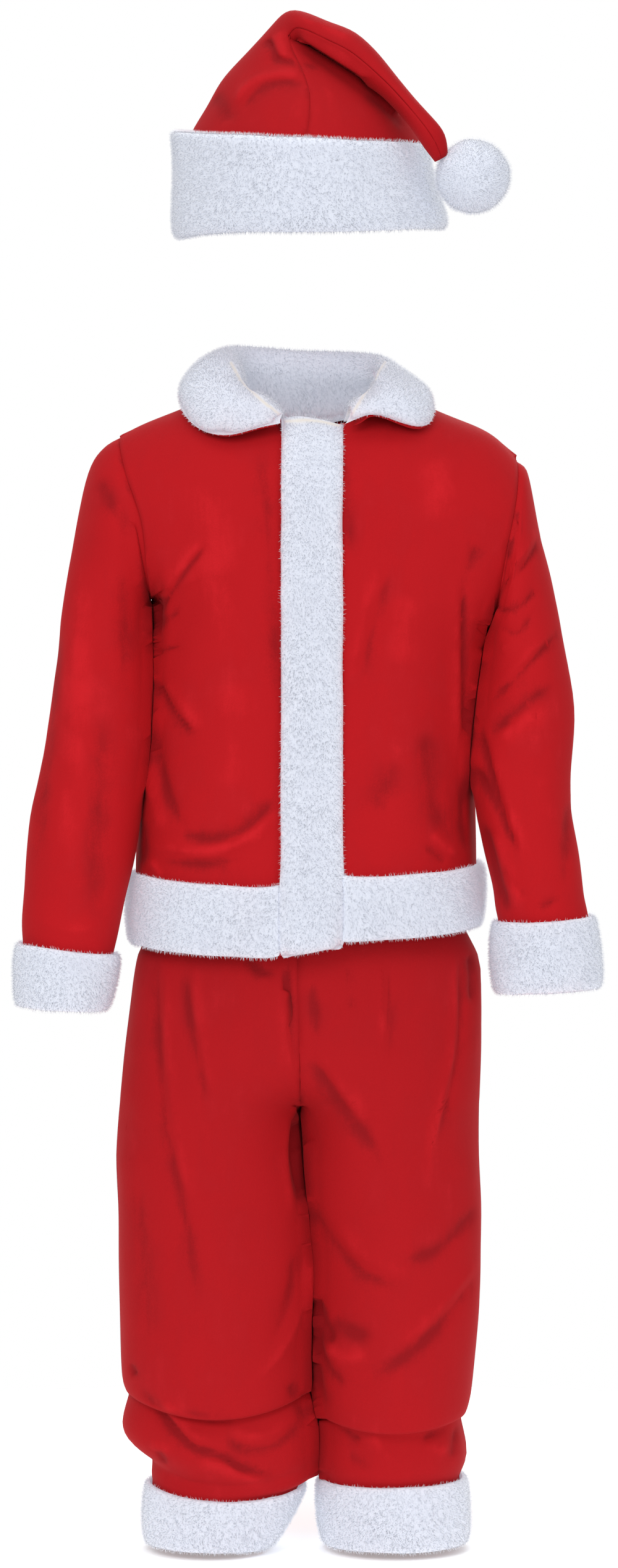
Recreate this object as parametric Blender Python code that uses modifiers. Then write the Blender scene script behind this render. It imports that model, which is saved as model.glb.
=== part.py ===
"""A child's santa suit, filled out as if worn by nobody: hat, jacket and trousers.

Metres, +Z up, +X to the wearer's left, the front faces -Y. The origin is the middle of the neck's base,
where a wearer's shoulders carry the jacket. Tables give the garment's outline in millimetres.

Cloth is a surface at the wall's inner face with a Solidify modifier that thickens it outwards, so two
panels that meet at a seam never touch. Fur is a closed slab laid on the cloth it is sewn to.
"""

import math
from collections import namedtuple

import bmesh
import bpy
from mathutils import Vector

MM = 0.001

FRONT = -1
BACK = 1
RIGHT = -1
LEFT = 1

# Driving dimensions ------------------------------------------------------------------------------------

CLOTH_WALL = 1.5 * MM
SEAM_GAP = 0.3 * MM
LAY_GAP = 0.5 * MM
BAND_PILE = 7.5 * MM
COLLAR_PILE = 6.5 * MM
UNDER_COLLAR_WALL = 1.2 * MM
WAISTBAND_WALL = 2.5 * MM

BODY_SQUARENESS = 2.3
SHOULDER_ROUND = 60 * MM
BACK_SHOULDER_ROUND = 52 * MM

FRONT_OVERLAP_LIFT = 2.4 * MM
RIGHT_FRONT_EDGE_X = 9 * MM
LEFT_FRONT_EDGE_X = -17 * MM
PLACKET_RIGHT_X = -19.3 * MM
PLACKET_LEFT_X = 22.8 * MM
PLACKET_BOTTOM_Z = -348 * MM
PLACKET_CORNER_DROP = 5 * MM

NECK_X = 62 * MM
NECK_Z = 21 * MM
FRONT_NECK_Z = 1 * MM
FRONT_NECK_SLOPE = -0.1
PLACKET_GAP = 1.0 * MM
COLLAR_GAP = 1.0 * MM
COLLAR_FUR_GAP = 1.5 * MM
COLLAR_EDGE_SHOWN = 0.3
BACK_NECK_Z = 2 * MM

PANEL_COLUMNS = 10
NECK_COLUMN = 6
SLEEVE_SIDES = 16
LEG_COLUMNS = 8
CROWN_SIDES = 20
BAND_ROWS = (0.0, 0.12, 0.5, 0.88, 1.0)
HEM_BAND_HEIGHTS = {RIGHT: 50 * MM, LEFT: 45 * MM}
HEM_SIDE_RISE = 5 * MM

POMPOM_CENTRE = (108.5 * MM, -61 * MM, 167 * MM)
POMPOM_RADIUS = 27.5 * MM
POMPOM_CORE = 21 * MM
POMPOM_GRID = 5

PLACKET_COLUMNS = 6
WAIST_SIDES = 24
UNDER_HEM_TURN = 9 * MM
BAND_PAST_HEM = 1.5 * MM
BAND_TAPER = 60 * MM
TUFT_RAGGEDNESS = 0.07
TUFTLESS_ANGLE = 38
TROUSER_BACK_DIP = 0.6
CALM_HEM = 60 * MM
CALM_MIDDLE = 26 * MM

# Tables, in millimetres --------------------------------------------------------------------------------

Outline = namedtuple("Outline", "z right left front back")
JACKET = (
    Outline(z=25, right=160, left=172, front=64, back=60),
    Outline(z=0, right=158, left=172, front=70, back=66),
    Outline(z=-20, right=156, left=170, front=74, back=71),
    Outline(z=-60, right=150, left=167, front=79, back=77),
    Outline(z=-80, right=139, left=162, front=80, back=78),
    Outline(z=-100, right=124, left=153, front=81, back=78),
    Outline(z=-118, right=107, left=140, front=82, back=77),
    Outline(z=-140, right=106.5, left=122, front=82, back=76),
    Outline(z=-180, right=107, left=116.5, front=82, back=74),
    Outline(z=-210, right=109.5, left=113.4, front=82.5, back=74),
    Outline(z=-240, right=114.5, left=113, front=83, back=74),
    Outline(z=-270, right=117, left=113.4, front=84, back=75),
    Outline(z=-300, right=118, left=114, front=85, back=76),
    Outline(z=-330, right=118, left=113, front=87, back=78),
    Outline(z=-365, right=118.5, left=113, front=88, back=80),
)

Mark = namedtuple("Mark", "x z")
SHOULDER_LINES = {
    RIGHT: (Mark(62, 21), Mark(84, 12.6), Mark(113, 1.2), Mark(128, -7), Mark(140, -17)),
    LEFT: (Mark(62, 21), Mark(87, 10.4), Mark(120, -3), Mark(131, -11.5), Mark(140, -21.5), Mark(144, -29)),
}
ARMHOLES = {
    RIGHT: (
        Mark(128, -7),
        Mark(126.5, -19),
        Mark(119, -42),
        Mark(112, -61),
        Mark(109.5, -80),
        Mark(107.5, -100),
        Mark(105.5, -118),
    ),
    LEFT: (
        Mark(140, -21.5),
        Mark(139.5, -42),
        Mark(136.5, -60),
        Mark(131, -86),
        Mark(127, -112),
        Mark(123.5, -130),
        Mark(120.5, -140),
    ),
}
HEM_DROP = {RIGHT: -355, LEFT: -344}

Ring = namedtuple("Ring", "outer_x outer_z inner_x inner_z front back")
SLEEVES = {
    RIGHT: (
        Ring(133, -10, 109.5, -117, -52, 52),
        Ring(141.5, -17, 109.5, -125, -54, 52),
        Ring(149.5, -31, 109, -131, -53, 49),
        Ring(156.5, -60, 108.3, -138, -51, 42),
        Ring(162, -92, 107.7, -150, -51, 33),
        Ring(167.5, -130, 106.9, -168, -55, 22),
        Ring(173, -170, 106.5, -192, -58, 14),
        Ring(179.7, -224, 109.5, -226, -61, 9),
        Ring(186.6, -256, 112.5, -256, -64, 5),
        Ring(190.8, -288, 116.5, -288, -65, 3),
        Ring(193.4, -320, 124, -318, -66, 1),
        Ring(194, -337.5, 128.5, -341, -66, -1),
        Ring(193.2, -347.5, 131.5, -354.5, -65, -3),
        Ring(194, -392.5, 140.5, -395, -66, -4),
    ),
    LEFT: (
        Ring(146.5, -29, 127, -139, -52, 50),
        Ring(150, -43, 125, -146, -55, 48),
        Ring(152.5, -57, 122.5, -152, -56, 43),
        Ring(156.5, -78, 120.5, -158, -57, 37),
        Ring(164.3, -109, 118.3, -166, -58, 29),
        Ring(171.5, -142, 115.7, -180, -60, 21),
        Ring(178.8, -180, 112.5, -203, -62, 14),
        Ring(178.3, -215, 111, -225, -65, 9),
        Ring(176.8, -240, 111.5, -244, -67, 6),
        Ring(179, -265, 114, -267, -68, 4),
        Ring(183, -290, 117.8, -288, -69, 2),
        Ring(185, -311, 123.5, -309, -69, 0),
        Ring(186.5, -321, 126, -323.5, -68, -2),
        Ring(188.3, -329.5, 128, -332.5, -67, -3),
        Ring(193.3, -380.5, 129.5, -384, -68, -4),
    ),
}

Leg = namedtuple("Leg", "z outer inner end front back dip")
LEGS = {
    RIGHT: (
        Leg(-290, 97, 7, 90, 60, 62, 0),
        Leg(-320, 103, 7.5, 90, 66, 66, 0),
        Leg(-345, 109, 8, 90, 71, 70, 0),
        Leg(-360, 116.5, 8, 90, 73, 71, 0),
        Leg(-380, 120, 7.5, 93, 72, 72, 0),
        Leg(-400, 122.5, 7, 99, 70, 73, 0),
        Leg(-420, 125, 6.5, 108, 68, 73, 0),
        Leg(-437, 126.8, 6, 120, 66, 72, 0),
        Leg(-450, 128, 6, 136, 64, 70, 0),
        Leg(-459, 128.8, 5.9, 157, 62, 68, 0),
        Leg(-464, 129.2, 5.9, 180, 62, 66, 0),
        Leg(-497, 131.5, 3.4, 180, 60, 62, 0),
        Leg(-530, 130.1, 0.6, 180, 60, 60, 0),
        Leg(-565, 129.9, -2.6, 180, 60, 59, 0),
        Leg(-600, 129.2, -2.3, 180, 61, 59, 2),
        Leg(-630, 128.5, -1.9, 180, 62, 59, 6),
        Leg(-648, 127.5, -1.8, 180, 63, 59, 11),
        Leg(-655, 126, -0.6, 180, 61, 57, 13),
        Leg(-654, 122.5, 1.5, 180, 54, 52, 12),
        Leg(-664, 124, -3, 180, 54, 52, 10),
        Leg(-676, 127, -6.4, 180, 57, 54, 9),
        Leg(-688, 124.5, -7.3, 180, 57, 55, 10),
        Leg(-698, 112, -7.2, 180, 54, 54, 12),
        Leg(-704, 107.2, -6.8, 180, 50, 53, 11),
        Leg(-713, 107.4, -5, 180, 50, 52, 8),
        Leg(-718, 107, 4, 180, 49, 50, 7),
        Leg(-762, 108, 29, 180, 50, 45, 0),
    ),
    LEFT: (
        Leg(-290, 95, -7, 90, 60, 62, 0),
        Leg(-320, 101, -7.5, 90, 66, 66, 0),
        Leg(-342, 106, -8, 90, 71, 70, 0),
        Leg(-360, 115, -8, 90, 73, 71, 0),
        Leg(-380, 117.2, -7.5, 93, 72, 72, 0),
        Leg(-400, 117.4, -7, 99, 70, 73, 0),
        Leg(-420, 117.4, -6.5, 108, 68, 73, 0),
        Leg(-437, 117, -6, 120, 66, 72, 0),
        Leg(-450, 116.5, -6, 136, 64, 70, 0),
        Leg(-459, 116.1, -5.9, 157, 62, 68, 0),
        Leg(-464, 115.9, -5.9, 180, 62, 66, 0),
        Leg(-497, 115.9, -3.4, 180, 60, 62, 0),
        Leg(-530, 117.5, -0.6, 180, 60, 60, 0),
        Leg(-565, 117, 2.6, 180, 60, 59, 0),
        Leg(-600, 116.2, 2.3, 180, 61, 59, 2),
        Leg(-632, 113.5, 1.9, 180, 62, 59, 4),
        Leg(-660, 110.5, 2.8, 180, 63, 59, 6),
        Leg(-670, 108, 5, 180, 62, 57, 7.5),
        Leg(-671, 104, 8.5, 180, 55, 52, 7),
        Leg(-678, 104, 7.5, 180, 53, 52, 6.5),
        Leg(-694, 107.3, 7.6, 180, 54, 53, 6),
        Leg(-706, 106.6, 7.8, 180, 53, 53, 4),
        Leg(-715, 103, 9.5, 180, 50, 50, 0),
        Leg(-762, 104.5, 13, 180, 50, 45, 0),
    ),
}

WAIST = (
    Leg(-258, 95, 0, 90, 60, 61, 0),
    Leg(-289, 97, 0, 90, 61, 62, 0),
)

CROWN = (
    Ring(-81, 130.5, 85, 136.5, -95, 96),
    Ring(-79, 199.5, 76, 191.5, -88, 89),
    Ring(-70, 215, 71, 205, -80, 82),
    Ring(-60, 232.5, 60, 219, -68, 70),
    Ring(-47.5, 247, 38, 234, -54, 57),
    Ring(-35.5, 260, 13.5, 246, -42, 43),
    Ring(-23.5, 273, -4, 254, -33, 30),
    Ring(-13, 281.3, -3, 257.5, -40, 18),
    Ring(1, 278.8, 1.5, 254.6, -48, 4),
    Ring(15, 273, 11, 248.6, -54, -8),
    Ring(31, 266, 24, 240.7, -58, -16),
    Ring(46.5, 251.5, 37, 232, -62, -24),
    Ring(59.5, 236.2, 49, 223.5, -66, -32),
    Ring(72, 221, 60, 212.5, -72, -43),
    Ring(83, 208.5, 69.5, 200, -78, -55),
    Ring(90.5, 198, 77, 188.5, -78, -58),
    Ring(92.5, 185, 84, 179.5, -71, -60),
)
BRIM = (
    Ring(-92.5, 201, 79.5, 193.5, -99, 99),
    Ring(-94.8, 193, 84, 185, -104, 104),
    Ring(-93.5, 164, 88, 162.5, -106, 106),
    Ring(-95, 137.5, 95.5, 140.5, -106, 106),
    Ring(-88, 130, 91, 132.5, -100, 100),
)
HAT_BACK_RISE = 0.045
BRIM_DROOP = 4.5 * MM
BRIM_DROOP_FROM_X = -62 * MM
BRIM_DROOP_WIDTH = 28 * MM
BRIM_DROOP_SHARES = (1.0, 0.8, 0.0, 0.0, 0.0)

Station = namedtuple("Station", "seam face roll_x roll_y roll_z edge_x edge_y edge_z belly")
COLLAR = (
    Station(20.3, FRONT, -20.3, -53, 9.5, -21.5, -65, 0.5, 1),
    Station(29, FRONT, -29, -52, 14, -38, -67, -3.5, 1),
    Station(39, FRONT, -40, -47, 20, -52, -66, -7, 1),
    Station(48, FRONT, -49, -36, 28, -66, -59, -5, 1),
    Station(56, FRONT, -52, -20, 37, -78, -41, 4, 1),
    Station(61, FRONT, -53, -3, 43, -83, -10, 15, 0.95),
    Station(54, BACK, -49, 21, 46.5, -76, 31, 14.5, 1),
    Station(34, BACK, -32, 36, 46, -46, 54, 2.5, 1),
    Station(0, BACK, 0, 41, 44.5, 0, 61, -2, 1),
    Station(-34, BACK, 31, 36, 43, 45, 54, 1.5, 1),
    Station(-54, BACK, 45, 21, 40, 67.5, 31, 14.5, 0.7),
    Station(-61, FRONT, 47, -3, 35.5, 79.5, -12, 15.8, 0.5),
    Station(-56, FRONT, 46.5, -20, 31, 79, -42, 0.8, 0.7),
    Station(-48, FRONT, 43, -36, 26, 66, -60, -1, 1),
    Station(-40, FRONT, 39, -46, 19, 47, -65, 6, 1),
    Station(-32, FRONT, 33, -52, 13, 36, -67, 4.5, 1),
    Station(-25.4, FRONT, 26, -54, 8, 27, -66, 0.5, 1),
)

Fold = namedtuple("Fold", "from_x from_z to_x to_z width height")
JACKET_FOLDS = (
    Fold(-100, -62, -78, -92, 9, -2.5),
    Fold(-76, -88, -103, -128, 8, 3.0),
    Fold(-70, -104, -98, -150, 9, -2.5),
    Fold(104, -90, 98, -225, 10, -2.5),
    Fold(60, -130, 66, -290, 16, 1.8),
    Fold(-60, -170, -66, -290, 18, 1.8),
    Fold(-106, -282, -40, -292, 8, 2.5),
    Fold(40, -286, 100, -280, 8, 1.8),
)
BACK_FOLDS = (
    Fold(-80, -92, -96, -190, 12, -2.5),
    Fold(88, -104, 98, -200, 12, -2.5),
    Fold(-34, -60, -42, -280, 20, 2.0),
    Fold(36, -60, 44, -280, 20, 2.0),
    Fold(-100, -286, -20, -292, 9, 2.2),
    Fold(20, -290, 98, -284, 9, 2.2),
)
TROUSER_FOLDS = (
    Fold(-103, -358, -105, -450, 6, -3.0),
    Fold(-84, -358, -86, -440, 6, -3.0),
    Fold(54, -358, 55, -425, 6, -2.5),
    Fold(101, -358, 82, -485, 8, -3.5),
    Fold(-3, -425, 45, -505, 9, 3.5),
    Fold(50, -508, 80, -548, 9, 3.0),
    Fold(-60, -520, -64, -640, 20, 2.5),
    Fold(60, -590, 66, -660, 18, 2.5),
    Fold(-20, -470, -44, -560, 12, -2.5),
    Fold(16, -560, 40, -650, 10, -2.5),
)
TROUSER_BACK_FOLDS = (
    Fold(-70, -360, -74, -460, 9, -3.0),
    Fold(70, -360, 74, -460, 9, -3.0),
    Fold(-18, -452, -60, -505, 10, 3.5),
    Fold(18, -452, 60, -505, 10, 3.5),
    Fold(-24, -540, -70, -600, 12, 3.0),
    Fold(26, -545, 72, -610, 12, 3.0),
)

Finish = namedtuple("Finish", "colour roughness metallic")
FINISHES = {
    "velour": Finish((0.50, 0.012, 0.018), 0.85, 0.0),
    "fur": Finish((0.82, 0.84, 0.90), 0.95, 0.0),
    "elastic": Finish((0.46, 0.011, 0.016), 0.8, 0.0),
}


# Small helpers -----------------------------------------------------------------------------------------


def clamp(value, low=0.0, high=1.0):
    return max(low, min(high, value))


def smooth(value):
    t = clamp(value)
    return t * t * (3.0 - 2.0 * t)


def mix(start, end, t):
    return start + (end - start) * t


def row_at(rows, z):
    """A table's row at a height, read straight between its neighbours."""
    if z >= rows[0].z:
        return rows[0]
    for upper, lower in zip(rows, rows[1:]):
        if z >= lower.z:
            t = (upper.z - z) / (upper.z - lower.z)
            return type(upper)(*(mix(a, b, t) for a, b in zip(upper, lower)))
    return rows[-1]


def line_at(marks, value, key, wanted):
    """The wanted column where a run of marks passes a value of the key column, past its ends too."""
    pairs = list(zip(marks, marks[1:]))
    for index, (first, second) in enumerate(pairs):
        start = getattr(first, key)
        end = getattr(second, key)
        inside = min(start, end) <= value <= max(start, end)
        if inside or index == len(pairs) - 1:
            t = (value - start) / (end - start)
            return mix(getattr(first, wanted), getattr(second, wanted), t)
    return getattr(marks[-1], wanted)


def relief(folds, x, z):
    """How far the folds near a point of the front or back view lift the cloth."""
    total = 0.0
    here = Vector((x, z))
    for fold in folds:
        start = Vector((fold.from_x, fold.from_z)) * MM
        run = Vector((fold.to_x, fold.to_z)) * MM - start
        t = (here - start).dot(run) / run.length_squared
        away = (here - (start + run * clamp(t))).length / (fold.width * MM)
        ends = smooth(min(t + 0.25, 1.25 - t) / 0.35)
        total += fold.height * MM * math.exp(-away * away) * ends
    return total


def material(name):
    finish = FINISHES[name]
    made = bpy.data.materials.get(name)
    if made is None:
        made = bpy.data.materials.new(name)
        made.use_nodes = True
        shader = made.node_tree.nodes["Principled BSDF"]
        shader.inputs["Base Color"].default_value = (*finish.colour, 1.0)
        shader.inputs["Roughness"].default_value = finish.roughness
        shader.inputs["Metallic"].default_value = finish.metallic
    return made


def new_object(name, points, faces, finish):
    mesh = bpy.data.meshes.new(name)
    mesh.from_pydata([tuple(point) for point in points], [], faces)
    mesh.update()
    mesh.shade_smooth()
    mesh.materials.append(material(finish))
    made = bpy.data.objects.new(name, mesh)
    PARTS.objects.link(made)
    return made


def grid_faces(rows, columns, first, closed, flip):
    """Quads over a grid of points kept row by row, from the point numbered first."""
    faces = []
    for row in range(rows - 1):
        for column in range(columns if closed else columns - 1):
            a = first + row * columns + column
            b = first + row * columns + (column + 1) % columns
            quad = (a, b, b + columns, a + columns)
            faces.append(quad[::-1] if flip else quad)
    return faces


def sheet(name, grid, wall, finish, closed=False, flip=False):
    """Cloth: an open surface, thickened outwards by its wall."""
    points = [point for row in grid for point in row]
    made = new_object(name, points, grid_faces(len(grid), len(grid[0]), 0, closed, flip), finish)
    thicken = made.modifiers.new("Cloth wall", "SOLIDIFY")
    thicken.thickness = wall
    thicken.offset = 1.0
    return made


def slab(name, inner, outer, finish, closed=False, flip=False):
    """Fur: a closed slab between an inner and an outer grid of the same size."""
    rows = len(inner)
    columns = len(inner[0])
    count = rows * columns
    points = [point for row in inner for point in row] + [point for row in outer for point in row]
    faces = grid_faces(rows, columns, 0, closed, not flip)
    faces += grid_faces(rows, columns, count, closed, flip)
    around = [row * columns for row in range(rows)]
    borders = []
    top = list(range(columns))
    bottom = [(rows - 1) * columns + column for column in range(columns)]
    if closed:
        borders.append(top + top[:1])
        borders.append((bottom + bottom[:1])[::-1])
    else:
        far = [start + columns - 1 for start in around]
        borders.append(top + far[1:] + bottom[::-1][1:] + around[::-1][1:])
    for border in borders:
        for a, b in zip(border, border[1:]):
            quad = (a, a + count, b + count, b)
            faces.append(quad if flip else quad[::-1])
    return new_object(name, points, faces, finish)


def grid_normals(grid, closed, flip):
    """Unit normals of a grid of points on the side that its faces look to."""
    rows = len(grid)
    columns = len(grid[0])
    normals = []
    for row in range(rows):
        above = grid[max(row - 1, 0)]
        below = grid[min(row + 1, rows - 1)]
        line = []
        for column in range(columns):
            before = (column - 1) % columns if closed else max(column - 1, 0)
            after = (column + 1) % columns if closed else min(column + 1, columns - 1)
            over = grid[row][after] - grid[row][before]
            normal = over.cross(below[column] - above[column]).normalized()
            line.append(-normal if flip else normal)
        normals.append(line)
    return normals


def moved_out(grid, distance_at, closed=False, flip=False):
    """The grid's points moved along its normals; distance_at takes a row's and a column's number."""
    normals = grid_normals(grid, closed, flip)
    moved = []
    for row, (points, directions) in enumerate(zip(grid, normals)):
        pairs = enumerate(zip(points, directions))
        moved.append([point + normal * distance_at(row, column) for column, (point, normal) in pairs])
    return moved


def fur_on(name, grid, pile_at, closed=False, flip=False, gap=LAY_GAP):
    """A fur slab on a cloth surface's inner points: past the wall and a gap, then as deep as its pile."""
    start = CLOTH_WALL + gap
    inner = moved_out(grid, lambda row, column: start, closed, flip)
    outer = moved_out(grid, lambda row, column: start + pile_at(row, column), closed, flip)
    return slab(name, inner, outer, "fur", closed, flip)


def pile_profile(t, edge=0.45):
    """The share of its full pile that a fur band has, from one edge (0) to the other (1)."""
    across = abs(2.0 * t - 1.0)
    return edge + (1.0 - edge) * math.sqrt(max(0.0, 1.0 - across**3))


def band_pile(pile):
    """The pile over a band whose rows are BAND_ROWS."""
    return lambda row, column: pile * pile_profile(BAND_ROWS[row])


def between(first, second, t):
    """A row of a table, or of points, part of the way to the next."""
    if isinstance(first, list):
        return [start.lerp(end, t) for start, end in zip(first, second)]
    return type(first)(*(mix(start, end, t) for start, end in zip(first, second)))


def along_row(row, x):
    """The point of a row of points at an x, straight between its neighbours and past its ends."""
    pairs = list(zip(row, row[1:]))
    for index, (first, second) in enumerate(pairs):
        inside = min(first.x, second.x) <= x <= max(first.x, second.x)
        if inside or index == len(pairs) - 1:
            return first.lerp(second, (x - first.x) / (second.x - first.x))
    return row[-1]


def along_columns(grid, z_at):
    """A row across a grid, at the height that z_at gives for each column's number."""
    out = []
    for column in range(len(grid[0])):
        z = z_at(column)
        for first, second in zip(grid, grid[1:]):
            if second[column].z >= z or second is grid[-1]:
                share = (z - first[column].z) / (second[column].z - first[column].z)
                out.append(first[column].lerp(second[column], share))
                break
    return out


# Jacket ------------------------------------------------------------------------------------------------


def shoulder_z(x):
    """The height of the shoulder line over a point, level across the neck."""
    side = RIGHT if x < 0 else LEFT
    if abs(x) < NECK_X:
        return NECK_Z
    return line_at(SHOULDER_LINES[side], abs(x) / MM, "x", "z") * MM


def body_y(x, z, face, grow):
    """The jacket's surface at a point of the front view, grown from its outside by a distance."""
    row = row_at(JACKET, z / MM)
    half = (row.right if x < 0 else row.left) * MM + grow
    deep = (row.front if face == FRONT else row.back) * MM + grow
    across = clamp(abs(x) / half)
    turn = (1.0 - across**BODY_SQUARENESS) ** (1.0 / BODY_SQUARENESS)
    rounding = SHOULDER_ROUND if face == FRONT else BACK_SHOULDER_ROUND
    drop = clamp((shoulder_z(x) + grow - z) / rounding)
    over = math.sqrt(1.0 - (1.0 - drop) ** 2)
    return face * (SEAM_GAP / 2 + deep * turn * over)


def neckline_z(x, face):
    low = FRONT_NECK_Z if face == FRONT else BACK_NECK_Z
    slope = FRONT_NECK_SLOPE if face == FRONT else 0.0
    out = abs(x) / NECK_X
    return mix(low, NECK_Z - CLOTH_WALL, out**2.4) + slope * x * (1.0 - out * out)


def side_x(side, z):
    """The front view's x of a jacket panel's side: its side seam, and the armhole above the underarm."""
    marks = ARMHOLES[side]
    if z > marks[-1].z * MM:
        return side * line_at(marks, z / MM, "z", "x") * MM
    row = row_at(JACKET, z / MM)
    return side * ((row.right if side == RIGHT else row.left) * MM - CLOTH_WALL)


def panel_heights(side):
    """Heights up a jacket panel's side edge: to the underarm, then one for each point of the sleeve."""
    hem = HEM_DROP[side] * MM + HEM_SIDE_RISE
    marks = ARMHOLES[side]
    under = marks[-1].z * MM
    tip = marks[0].z * MM - CLOTH_WALL
    below = [mix(hem, under, share) for share in (0, 0.06, 0.14, 0.24, 0.4, 0.58, 0.78, 0.92)]
    steps = SLEEVE_SIDES // 2
    middle = (tip + under) / 2
    reach = (tip - under) / 2
    return below + [middle - reach * math.cos(math.pi * step / steps) for step in range(steps + 1)]


def hem_z(side, x):
    """The hem's height: the right front's hem turns up where it passes under the left front."""
    turn_up = UNDER_HEM_TURN * smooth((x + 23 * MM) / (31 * MM)) if side == RIGHT else 0.0
    return HEM_DROP[side] * MM + turn_up


def top_edge(side, face, centre_x, column):
    """A point of a panel's top: along the shoulder to NECK_COLUMN, then round the neck to the centre."""
    tip_x = side * ARMHOLES[side][0].x * MM
    neck_x = side * NECK_X
    if column <= NECK_COLUMN:
        x = mix(tip_x, neck_x, column / NECK_COLUMN)
        return x, shoulder_z(x) - CLOTH_WALL
    turn = (column - NECK_COLUMN) / (PANEL_COLUMNS - NECK_COLUMN)
    x = neck_x * math.cos(math.acos(side * centre_x / NECK_X) * turn)
    return x, neckline_z(x, face)


def panel_grid(side, face, centre_x, folds):
    """Half of the jacket's front or back, from its side edge to centre_x, from hem to shoulder."""
    heights = panel_heights(side)
    low = heights[0]
    high = heights[-1]
    tip_x = side * ARMHOLES[side][0].x * MM
    centre_low = hem_z(side, centre_x)
    if face == BACK:
        centre_low = (HEM_DROP[LEFT] + HEM_DROP[RIGHT]) / 2 * MM
    centre_high = neckline_z(centre_x, face)
    lifted = side == LEFT and face == FRONT
    rows = []
    for height in heights:
        v = (height - low) / (high - low)
        row = []
        for column in range(PANEL_COLUMNS + 1):
            u = 1.0 - math.cos(math.pi / 2 * column / PANEL_COLUMNS)
            top_x, top_z = top_edge(side, face, centre_x, column)
            x = mix(side_x(side, height), centre_x, u) + v * (top_x - mix(tip_x, centre_x, u))
            z = mix(height, mix(centre_low, centre_high, v), u) + v * (top_z - mix(high, centre_high, u))
            if face == FRONT:
                hem = hem_z(side, x) + HEM_SIDE_RISE * (1.0 - u) ** 3
                z += (1.0 - v) * (hem - mix(low, centre_low, u))
            lift = FRONT_OVERLAP_LIFT * overlap_share(x) if lifted else 0.0
            y = body_y(x, z, face, lift - CLOTH_WALL)
            calm = smooth((z - (low + CALM_HEM)) / (14 * MM)) * smooth((high - z) / (30 * MM))
            calm *= smooth(u / 0.12)
            if face == FRONT:
                calm *= smooth((abs(x) - CALM_MIDDLE) / (14 * MM))
            row.append(Vector((x, y + face * relief(folds, x, z) * calm, z)))
        rows.append(row)
    return rows


def overlap_share(x):
    """How much of the closing's lift the left front has: all of it where it lies over the right front."""
    return smooth((46 * MM - x) / (30 * MM))


def make_jacket_body():
    """The two fronts and the back; their grids of points carry the placket, the hem band and the collar."""
    grids = {
        "front_right": panel_grid(RIGHT, FRONT, RIGHT_FRONT_EDGE_X, JACKET_FOLDS),
        "front_left": panel_grid(LEFT, FRONT, LEFT_FRONT_EDGE_X, JACKET_FOLDS),
    }
    back = []
    right_half = panel_grid(RIGHT, BACK, 0.0, BACK_FOLDS)
    left_half = panel_grid(LEFT, BACK, 0.0, BACK_FOLDS)
    for right_row, left_row in zip(right_half, left_half):
        middle = (right_row[-1] + left_row[-1]) / 2
        back.append(right_row[:-1] + [middle] + left_row[:-1][::-1])
    grids["back"] = back
    sheet("jacket_front_right", grids["front_right"], CLOTH_WALL, "velour")
    sheet("jacket_front_left", grids["front_left"], CLOTH_WALL, "velour", flip=True)
    sheet("jacket_back", back, CLOTH_WALL, "velour", flip=True)
    return grids


def ring_points(ring, side, grow, count=SLEEVE_SIDES):
    """A tube's section: an ellipse through its outer and inner points, from front to back."""
    outer = Vector((side * ring.outer_x, 0.0, ring.outer_z)) * MM
    inner = Vector((side * ring.inner_x, 0.0, ring.inner_z)) * MM
    centre = (outer + inner) / 2
    reach = outer - centre
    reach *= 1.0 + grow / reach.length
    middle_y = (ring.front + ring.back) / 2 * MM
    deep = (ring.back - ring.front) / 2 * MM + grow
    points = []
    for index in range(count):
        angle = 2.0 * math.pi * index / count
        point = centre + reach * math.cos(angle)
        point.y = middle_y - deep * math.sin(angle)
        points.append(point)
    return points


def armhole_points(side, inset):
    """The sleeve's first section, just inside the armhole's edge."""
    marks = ARMHOLES[side]
    high = marks[0].z * MM - CLOTH_WALL
    low = marks[-1].z * MM
    middle = (high + low) / 2
    reach = (high - low) / 2
    points = []
    for index in range(SLEEVE_SIDES):
        angle = 2.0 * math.pi * index / SLEEVE_SIDES
        z = middle + reach * math.cos(angle)
        x = side_x(side, max(z, low + 0.01 * MM))
        face = FRONT if math.sin(angle) >= 0 else BACK
        y = body_y(x, z, face, -CLOTH_WALL)
        point = Vector((0.0, y, z - middle))
        point *= 1.0 - inset / point.length
        points.append(Vector((x, point.y, point.z + middle)))
    return points


def make_sleeve(side, name):
    rings = SLEEVES[side]
    flip = side == RIGHT
    cuff_rings = [between(rings[-2], rings[-1], share) for share in BAND_ROWS]
    grid = [armhole_points(side, CLOTH_WALL + LAY_GAP)]
    grid += [ring_points(ring, side, -CLOTH_WALL) for ring in list(rings[:-2]) + cuff_rings]
    sheet("sleeve_" + name, grid, CLOTH_WALL, "velour", closed=True, flip=flip)
    fur_on("sleeve_cuff_" + name, grid[-len(BAND_ROWS):], band_pile(BAND_PILE), closed=True, flip=flip)


def make_placket(front):
    """The fur strip down the left front's edge, on each of the panel's rows from its hem to its neck."""
    columns = PLACKET_COLUMNS
    grid = []
    across = [mix(PLACKET_RIGHT_X, PLACKET_LEFT_X, k / columns) for k in range(columns + 1)]
    for row in front:
        grid.append([along_row(row, x) for x in across])
    rows = len(grid)
    for k, point in enumerate(grid[0]):
        point.z = PLACKET_BOTTOM_Z - PLACKET_CORNER_DROP * (1.0 - smooth(k / columns))
    for point in grid[-1]:
        point.z += 1.0 * MM

    def pile(row, column):
        ends = 0.7 if row in (0, rows - 1) else 1.0
        return BAND_PILE * pile_profile(column / columns) * ends

    fur_on("placket", grid, pile, gap=PLACKET_GAP)


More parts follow.
